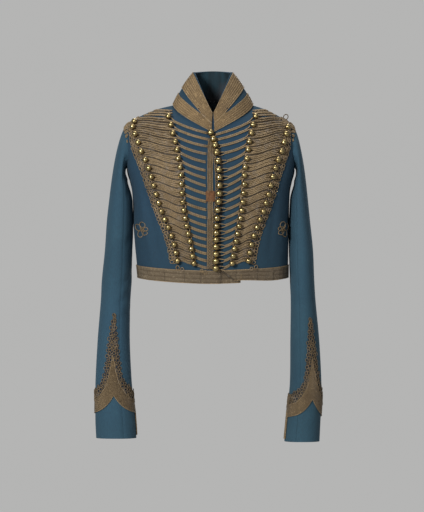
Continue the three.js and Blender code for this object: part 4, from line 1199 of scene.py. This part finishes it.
def border_rings(sign, cord, chance):
    """The lace-like edge beyond the outer buttons, of small loops side by side."""

    def border(bars, limit):
        turn0, drop0 = column(FROGGING, "out_turn", bars), column(FROGGING, "out_drop", bars)
        along = length(body_slopes(sign * turn0, drop0)[0])
        reach = np.minimum(column(BORDER, "reach", bars), limit - armhole_cut(drop0, ARMHOLE["front"]) - turn0)
        return turn0, drop0, along, reach * along

    parts = []
    rows, away = np.meshgrid(np.linspace(0.1, BARS - 0.9, 90), np.linspace(0, 1, 5), indexing="ij")
    turn0, drop0, along, width = border(rows, 87)
    turn = turn0 + (-1.5 + (width - 0.5 + 1.2 * np.sin(rows * 12.6)) * away) / along
    parts.append(marked(ground_under(sign * turn, drop0), 2))
    bars = np.arange(0.25, BARS - 0.7, 0.4)
    turn0, drop0, along, width = border(bars, 88.5)
    turns, drops, last = [], [], []
    for k in range(len(bars)):
        count = max(1, int(round(width[k] / 5.8)))
        offset = 3.0 if k % 2 else 5.0
        for j in range(count):
            at = offset + j * max(width[k] - offset - 1.5, 1) / max(count - 0.5, 1)
            turns.append(turn0[k] + at / along[k])
            drops.append(drop0[k])
            last.append(j == count - 1)
    turns, drops, last = np.array(turns), np.array(drops), np.array(last)
    count = len(turns)
    size = chance.uniform(2.2, 3.4, count) + 0.6 * last
    tilt = chance.uniform(-0.5, 0.5, count)
    below = chance.uniform(-1.5, 1.5, count)
    down = length(body_slopes(sign * turns, drops)[1])
    height = 0.2 + cord + chance.uniform(0, 0.7, count)
    drops = drops + below / down
    parts.append(rings_on_body(sign * turns, drops, size * 1.15, size * 0.9, 1.6 * tilt, cord * 0.85, height))
    return parts


def ball_buttons(name, turn, drop, radius, lift, shank, nodes, cuts=5):
    """A column of ball buttons; the shank is its length, radius and the height at which it starts."""
    reach, thickness, start = shank
    foot, normal = on_body(turn, drop, 0, 0, start)
    stem = np.stack([foot, foot + normal * reach], 1)
    side = np.broadcast_to(np.array([0.0, 0, 1]), stem.shape)
    parts = [balls(foot + normal * (radius + lift), normal, radius, cuts), tubes(stem, side, thickness)]
    add_piece(name, parts, "brass_balls", nodes)


def make_side_buttons():
    radius = sizes().side_ball / MM / 2
    for name, sign in SIDES.items():
        for row, side, first in (("in", "inner", 0), ("out", "outer", 1 if sign < 0 else 2)):
            bars = np.arange(first, BARS, dtype=float)
            turn, drop = sign * column(FROGGING, f"{row}_turn", bars), column(FROGGING, f"{row}_drop", bars)
            nodes = [f"buttons_{name}_{side}"]
            ball_buttons(f"balls_{name}_{row}", turn, drop, radius, 2.6, (3.4, 1.3, 0.4), nodes)


def make_front_buttons():
    bars = np.arange(BARS, dtype=float)
    turn, drop = column(BUTTON_LINE, "turn", bars), column(FROGGING, "middle", bars)
    nodes = [f"button_{k:02d}" for k in range(1, BARS + 1)]
    ball_buttons("balls_front", turn, drop, sizes().front_ball / MM / 2, 1.7, (3, 1.5, 0.3), nodes, 6)


def make_front_strip():
    """Plaited cord beside the front buttons, the loops that close the front, and the patch."""
    parts = []
    drops = np.linspace(STRIP["top"], STRIP["bottom"], 260)
    middle = (STRIP["from"] + np.minimum(STRIP["to"], bar_turn(drops) - 2.6)) / 2
    run = drops * 330
    plait = run / 8.5 * 2 * np.pi
    for phase in (0, np.pi):
        sway, height = 2.3 * np.sin(plait + phase), 1.7 + 0.8 * np.cos(plait + phase)
        parts.append(cord(on_body(middle, drops, sway, 0, height), 0.8))
    for away in (-4.6, 4.6):
        parts.append(cord(on_body(middle, drops, away + 0.25 * np.sin(run / 5), 0, 1.6), 1.05))
    # A dark braid sheet under the plait: painted shade between its cords.
    across = middle[:, None] + np.linspace(-1.9, 1.9, 5)[None, :]
    parts.append(marked(ground_under(across, np.broadcast_to(drops[:, None], across.shape), 1.0, 0.4), 1))
    spots = np.arange(STRIP["top"] + 0.03, STRIP["bottom"], 0.0182)
    size, tilt = 2.7 + 0.3 * np.sin(spots * 90), 0.4 * np.sin(spots * 300)
    beside, height = bar_turn(spots) - 1.75, 1.5 + 0 * spots
    parts.append(rings_on_body(beside, spots, size * 0.85, size * 1.05, tilt, 0.9, height))
    add_piece("cord_front_strip", parts, "braid braid_ground", ["front_strip"])
    make_closing_loops()
    make_patch()


def make_closing_loops():
    """A loop of cord from each bar of the upper front round its button."""
    bars = np.arange(BARS, dtype=float)[:, None]
    start, spot = bar_start(1, bars) + 0.4, column(BUTTON_LINE, "turn", bars)
    away = np.linspace(0, 1, 12)[None, :]
    bend = np.linspace(-np.pi / 2, -3 * np.pi / 2, 9)[None, 1:-1] + 0 * bars
    out = start + (spot - start) * away
    spread = 1.9 + 1.6 * away**0.8 + 0.9 * np.sin(np.pi * away) + 0 * bars
    turn = np.concatenate([out, spot + 0 * bend, out[:, ::-1]], 1)
    below = np.concatenate([-spread, 3.4 * np.sin(bend), spread[:, ::-1]], 1)
    across = np.concatenate([0 * spread, 3.4 * np.cos(bend), 0 * spread], 1)
    place = on_body(turn, column(FROGGING, "middle", bars), across, below, 1.5)
    add_piece("cord_closing_loops", [tubes(*place, 1.05)], "braid_bright", [])


def make_patch():
    """The mend of felt sewn over the strip."""
    chance = np.random.default_rng(3)
    across, down = np.linspace(PATCH["from"], PATCH["to"], 16), np.linspace(PATCH["top"], PATCH["bottom"], 28)
    turns, drops = np.meshgrid(across, down)
    ripple = 0.35 * np.sin(turns * 2.1 + drops * 60) + chance.uniform(-0.08, 0.08, turns.shape)
    felt = ground_under(turns, drops, 4.5 + ripple, 3.6 + ripple * 0.8)
    add_piece("felt_patch", [felt], "brown_felt brown_felt", ["patch"], 50)


def bar_turn(drop):
    """Turn of the front buttons at a drop."""
    bars = np.linspace(0, BARS - 1, 200)
    return np.interp(drop, column(FROGGING, "middle", bars), column(BUTTON_LINE, "turn", bars))


def make_knots():
    """An interlaced knot of thin braid by each side seam, with open loops of different sizes."""
    petals = ((-96, 1.0, 0.3), (-18, 1.12, 0.36), (62, 1.04, 0.32), (128, 0.72, 0.26), (-158, 0.62, 0.24))
    for name, sign in SIDES.items():
        parts = []
        for k, (heading, reach, width) in enumerate(petals):
            angle = np.linspace(-np.pi, np.pi, 30)
            out = KNOT["radius"] * reach * (0.5 + 0.5 * np.cos(angle)) - 2.2 * np.cos(angle / 2 + np.pi / 2) ** 2
            side = KNOT["radius"] * width * np.sin(angle) * (1 + 0.35 * np.cos(angle))
            way = np.radians(heading)
            across = (out * np.cos(way) - side * np.sin(way)) * 1.6
            below = out * np.sin(way) + side * np.cos(way)
            height = 1.3 + 0.8 * np.sin(angle * 1.5 + k)
            place = on_body(sign * KNOT["turn"][sign], KNOT["drop"], sign * across, below, height)
            parts.append(cord(place, 0.85))
        add_piece(f"cord_knot_{name}", parts, "braid", [f"knot_{name}"])


def make_hem_band():
    step = sizes().grid / MM
    share = np.linspace(0, 1, 10)
    drops = BAND_TOP + (0.999 - BAND_TOP) * share

    def band(name, turns, place, node, sign=1):
        grid = np.broadcast_to(drops[:, None], turns.shape)
        groove = sum(1.1 * np.exp(-((wrap_turn(turns - seam) * DEG_MM / 1.5) ** 2)) for seam in HEM_SEAMS)
        ripple = 0.25 * np.sin(turns * 0.9 + grid * 30) - groove
        parts = [wall(place(turns, grid, 1.7 + ripple), place(turns, grid, 0.3))]
        for spot in (sign * seam for seam in HEM_SEAMS):
            if turns[5, 0] + 1 < spot < turns[5, -1] - 1:
                at = spot + 0.25 * np.sin(share * 9)
                parts.append(cord(between(lambda height: place(at, drops, height), 1.75, 2.75), 0.5, 2))
        if node == "hem_band_left":
            parts += folded_end(turns[:, 0], drops, share, place)
        for row, radius in ((0, 1.0), (9, 0.7)):
            edge = between(lambda height: place(turns[row], grid[row], height + ripple[row]), 1.6, 2.6)
            parts.append(cord(edge, radius, 1))
        add_piece(name, parts, "band_weave braid_bright braid_ground", [node], 60)

    for name, sign in SIDES.items():
        place = lambda turn, drop, height, sign=sign: front_place(sign, turn, drop, height)
        turns = front_turns(sign, drops, int(225 / step))
        if sign > 0:
            corner = 6.2 + 9.4 * share[:, None]
            turns = corner + (turns[:, -1:] - corner) * np.linspace(0, 1, 72)
            place = flap_place
        band(f"lace_hem_{name}", turns, place, f"hem_band_{name}", sign)
    band("lace_hem_back", back_turns(drops, int(430 / step)), body_place, "hem_band_back")


def folded_end(turns, drops, share, place):
    """The shadowed fold at the end of the upper front's hem lace, with its frayed threads."""
    # A dark cord along the fold, thickest in its middle: painted shadow of the folded end.
    fold_shadow_line = between(lambda height: place(turns, drops, height), 2.6, 3.6)
    parts = [cord(fold_shadow_line, 0.8 + 1.4 * np.sin(np.pi * share**0.7), 2, 8)]
    for k in range(9):
        spot = BAND_FRAY + 0.32 * np.sin(k * 2.3)
        fray = np.linspace(0.968 + 0.003 * k, 0.975 + 0.0028 * k + 0.004 * math.sin(k * 1.7), 6)
        path, top = place(spot + 0.3 * np.linspace(-k % 2, 1, 6), fray, 3.2), place(spot + 0 * fray, fray, 4.2)
        parts.append(cord((path, top - path), 0.35, 1, 5))
    return parts


def flap_place(turn, drop, height):
    """The upper front's hem band, whose end is folded back on the slant."""
    rise = 0.012 * (1 - smooth_step(18, 50, turn)) * smooth_step(BAND_TOP - 0.02, 1, drop)
    return body_place(turn, drop - rise, height + 0.8 * (1 - smooth_step(8, 20, turn)))


def cuff_rings(sign, cord, chance):
    """Loops of thin braid that rise to a point above the cuff's lace."""
    turns = np.linspace(0, 180, 361)
    tops, uppers = column(CUFF_LACE, "loops", turns), column(CUFF_LACE, "upper", turns)
    spots = []
    for row, down in enumerate(np.arange(427, 612, 6.1)):
        inside = turns[(tops <= down) & (uppers + 2 >= down)]
        for side in (-1, 1):
            if not len(inside):
                continue
            low, high = inside.min(), inside.max()
            count = max(1, int(round((high - low) * CUFF_DEG_MM / 7.4)))
            for j in range(count):
                share = (j + (0.25 if row % 2 else 0.75)) / count
                spots.append((side * (low + (high - low) * share), down))
    spots = np.array(spots)
    spots = spots + chance.uniform(-1, 1, spots.shape) * np.array([2.2, 1.9])
    angle = 2 * np.pi * np.arange(12) / 12
    size = chance.uniform(2.7, 3.9, len(spots))[:, None]
    tilt = chance.uniform(-0.9, 0.9, len(spots))[:, None]
    across, below = size * 1.1 * np.cos(angle + tilt), size * np.sin(angle + tilt)
    height = 0.9 + cord + chance.uniform(0, 0.8, len(spots))[:, None] + 0 * across
    turns, drops = spots[:, :1] + across / CUFF_DEG_MM, spots[:, 1:] + below
    return tubes(*cuff_place(sign, turns, drops, height), cord, 5, True)


def cuff_band(sign, turns, start, end, foot, crown, rows):
    """A band round the cuff between two edges given by degrees from its front."""
    share = np.linspace(0, 1, rows)[:, None]
    down = start(turns) + (end(turns) - start(turns)) * share
    grid = np.broadcast_to(turns, down.shape)
    lift = foot + (crown - foot) * (1 - 0.3 * (2 * share - 1) ** 4) + 0 * down
    return wall(cuff_place(sign, grid, down, lift)[0], cuff_place(sign, grid, down, foot)[0], True)


def make_cuff_lace():
    chance = np.random.default_rng(11)
    edge = lambda name: lambda turns: column(CUFF_LACE, name, np.abs(turns))
    for name, sign in SIDES.items():
        turns = np.concatenate([np.linspace(-180, 0, 100)[:-1], np.linspace(0, 180, 100)[:-1]])
        parts = [cuff_band(sign, turns, edge("upper"), edge("lower"), 0.5, 2.3, 9)]
        parts.append(marked(cuff_band(sign, turns, edge("loops"), edge("upper"), 0.3, 0.9, 14), 2))
        for side in ("upper", "lower"):
            parts.append(cord(cuff_place(sign, turns, edge(side)(turns), 1.9), 0.85, 1, 6, True))
        parts.append(marked(cuff_rings(sign, sizes().ring_cord / MM / 2 * 0.7, chance), 3))
        falls = np.linspace(620, 676, 40)
        inner = -178 - CUFF_FRONT[sign] + (8 if sign > 0 else 0)
        for away in np.arange(0, 15 if sign > 0 else 7, 3.2):
            parts.append(cord(cuff_place(sign, inner + away, falls, 1.4), 1.4, 1))
        finishes = "cuff_weave braid dark_thread braid_dull"
        add_piece(f"lace_cuff_{name}", parts, finishes, [f"cuff_lace_{name}"], 60)


# Stage
def add_light(name, place, target, size, power):
    data = bpy.data.lights.new(name, "AREA")
    data.shape = "DISK"
    data.size = size
    data.energy = power
    light = bpy.data.objects.new(name, data)
    bpy.context.scene.collection.objects.link(light)
    light.location = place
    light.rotation_euler = (Vector(target) - Vector(place)).to_track_quat("-Z", "Y").to_euler()


def make_stage():
    scene = bpy.context.scene
    lens = bpy.data.cameras.new("photo_camera")
    lens.lens = 250
    lens.sensor_width = 36
    camera = bpy.data.objects.new("photo_camera", lens)
    scene.collection.objects.link(camera)
    camera.location = (-0.002, -1.0752 * lens.lens / lens.sensor_width, -0.3024)
    camera.rotation_euler = (math.radians(90), 0, 0)
    scene.camera = camera
    scene.view_settings.view_transform = "Standard"
    scene.view_settings.look = "None"
    world = bpy.data.worlds.new("studio")
    world.use_nodes = True
    world.node_tree.nodes["Background"].inputs[0].default_value = (0.22, 0.22, 0.22, 1)
    world.node_tree.nodes["Background"].inputs[1].default_value = 1.0
    scene.world = world
    middle = (0, 0, -0.3)
    add_light("key", (-1.5, -3.3, 0.8), middle, 0.8, 122)
    add_light("fill", (1.7, -3.0, 0.4), middle, 1.3, 11)
    add_light("top", (0.2, 0.6, 2.4), middle, 1.6, 30)
    add_light("rim", (0.3, 3.2, 0.8), middle, 1.6, 26)
    add_scenery("backdrop", [(-2.4, 9, -2.6), (2.4, 9, -2.6), (2.4, 9, 2.0), (-2.4, 9, 2.0)], backdrop_finish())
    low, spread, sides = cad_box[0][2] - 0.32, 1.5, 24
    turns = [2 * math.pi * k / sides for k in range(sides)]
    corners = [(spread * math.cos(turn), spread * math.sin(turn), low) for turn in turns]
    add_scenery("floor", corners, stage_finish())


def add_scenery(name, corners, finish):
    """A flat face behind or below the jacket."""
    mesh = bpy.data.meshes.new(name)
    mesh.from_pydata(corners, [], [range(len(corners))])
    mesh.materials.append(finish)
    scenery = bpy.data.objects.new(name, mesh)
    bpy.context.scene.collection.objects.link(scenery)


# Panel
def size_property(name, description, size, low, high):
    return bpy.props.FloatProperty(
        name=name, description=description, default=size, min=low, max=high, unit="LENGTH"
    )


def colour_property(name, description, code):
    return bpy.props.FloatVectorProperty(
        name=name, description=description, default=linear(code), size=3, min=0, max=1, subtype="COLOR"
    )


class JacketSizes(bpy.types.PropertyGroup):
    """Sizes of the jacket's cloth and trimming."""

    cloth: size_property("Cloth", "Thickness of the cloth", 0.002, 0.001, 0.003)
    grid: size_property("Cloth grid", "Size of the cloth's mesh faces", 0.0036, 0.002, 0.01)
    creases: bpy.props.FloatProperty(name="Creases", description="Depth, 1 as worn", default=1.0, min=0, max=2)
    bar_cord: size_property("Bar cord", "Diameter of the cord in the bars", 0.0034, 0.001, 0.005)
    field_cord: size_property("Field cord", "Diameter of the cord between the columns", 0.0033, 0.001, 0.005)
    ring_cord: size_property("Loop cord", "Diameter of the cord in the small loops", 0.0021, 0.001, 0.004)
    side_ball: size_property("Side buttons", "Diameter of the side ball buttons", 0.0124, 0.006, 0.016)
    front_ball: size_property("Front buttons", "Diameter of the front ball buttons", 0.0144, 0.008, 0.018)


class JacketColours(bpy.types.PropertyGroup):
    """Colours of the jacket's cloth and trimming."""

    cloth: colour_property("Cloth", "Lit tone of the blue cloth", "1d3c4c")
    cloth_deep: colour_property("Deep cloth", "Darker clouds of the blue cloth", "143040")
    sleeves: colour_property("Sleeves", "Lit tone of the sleeves", "2a4a57")
    lining: colour_property("Lining", "Inside of the collar and cloth", "16323c")
    braid: colour_property("Braid", "Tarnished gold cord and lace", "9a8462")
    # This colour is also the painted shade on the cords' sides and underside, besides the dirt between their turns.
    braid_dark: colour_property("Dark braid", "Dirt between the cord's turns", "4a3a29")
    collar_lace: colour_property("Collar lace", "More golden lace of the collar", "b0946a")
    brass: colour_property("Brass", "Ball buttons", "b3a070")
    patch: colour_property("Patch", "Reddish brown mend", "6f4a2e")


def piece_operator(name, label, doc, action):
    """An operator that makes one piece or a group of like pieces."""

    def execute(self, context):
        action()
        return {"FINISHED"}

    body = {"__doc__": doc, "bl_idname": f"jacket.{name}", "bl_label": label, "execute": execute}
    body["bl_options"] = {"REGISTER", "UNDO"}
    return type(f"JACKET_OT_{name}", (bpy.types.Operator,), body)


OPERATORS = (
    piece_operator("stage", "Stage", "Make the camera, lights and floor", make_stage),
    piece_operator("body", "Fronts and back", "Make the cloth of both fronts and the back", make_body),
    piece_operator("sleeves", "Sleeves", "Make the cloth of both sleeves", make_sleeves),
    piece_operator("collar", "Collar", "Make the stand collar and its laces", make_collar),
    piece_operator("frogging", "Frogging", "Make the bars, fields and borders of cord", make_frogging),
    piece_operator("side_buttons", "Side buttons", "Make the four side rows of ball buttons", make_side_buttons),
    piece_operator("front_buttons", "Front buttons", "Make the buttons of the front", make_front_buttons),
    piece_operator("front_strip", "Front strip", "Make the strip, closing loops and patch", make_front_strip),
    piece_operator("knots", "Knots", "Make the knot by each side seam", make_knots),
    piece_operator("hem_band", "Hem band", "Make the lace round the hem", make_hem_band),
    piece_operator("cuff_lace", "Cuff lace", "Make the lace and loops of both cuffs", make_cuff_lace),
)


class JACKET_PT_pieces(bpy.types.Panel):
    """Sizes, colours and pieces of the jacket."""

    bl_label = "Napoleon jacket"
    bl_idname = "JACKET_PT_pieces"
    bl_space_type = "VIEW_3D"
    bl_region_type = "UI"
    bl_category = "Jacket"

    def draw(self, context):
        for group in (context.scene.jacket_sizes, context.scene.jacket_colours):
            box = self.layout.box()
            for name in group.bl_rna.properties.keys():
                if name not in ("rna_type", "name"):
                    box.prop(group, name)
        for operator in OPERATORS:
            self.layout.operator(operator.bl_idname)


CLASSES = (JacketSizes, JacketColours, *OPERATORS, JACKET_PT_pieces)


def register():
    for cls in CLASSES:
        bpy.utils.register_class(cls)
    bpy.types.Scene.jacket_sizes = bpy.props.PointerProperty(type=JacketSizes)
    bpy.types.Scene.jacket_colours = bpy.props.PointerProperty(type=JacketColours)


def unregister():
    del bpy.types.Scene.jacket_sizes
    del bpy.types.Scene.jacket_colours
    for cls in reversed(CLASSES):
        bpy.utils.unregister_class(cls)


def main():
    register()
    for operator in OPERATORS:
        getattr(bpy.ops.jacket, operator.bl_idname.split(".")[1])()


if __name__ == "__main__":
    main()
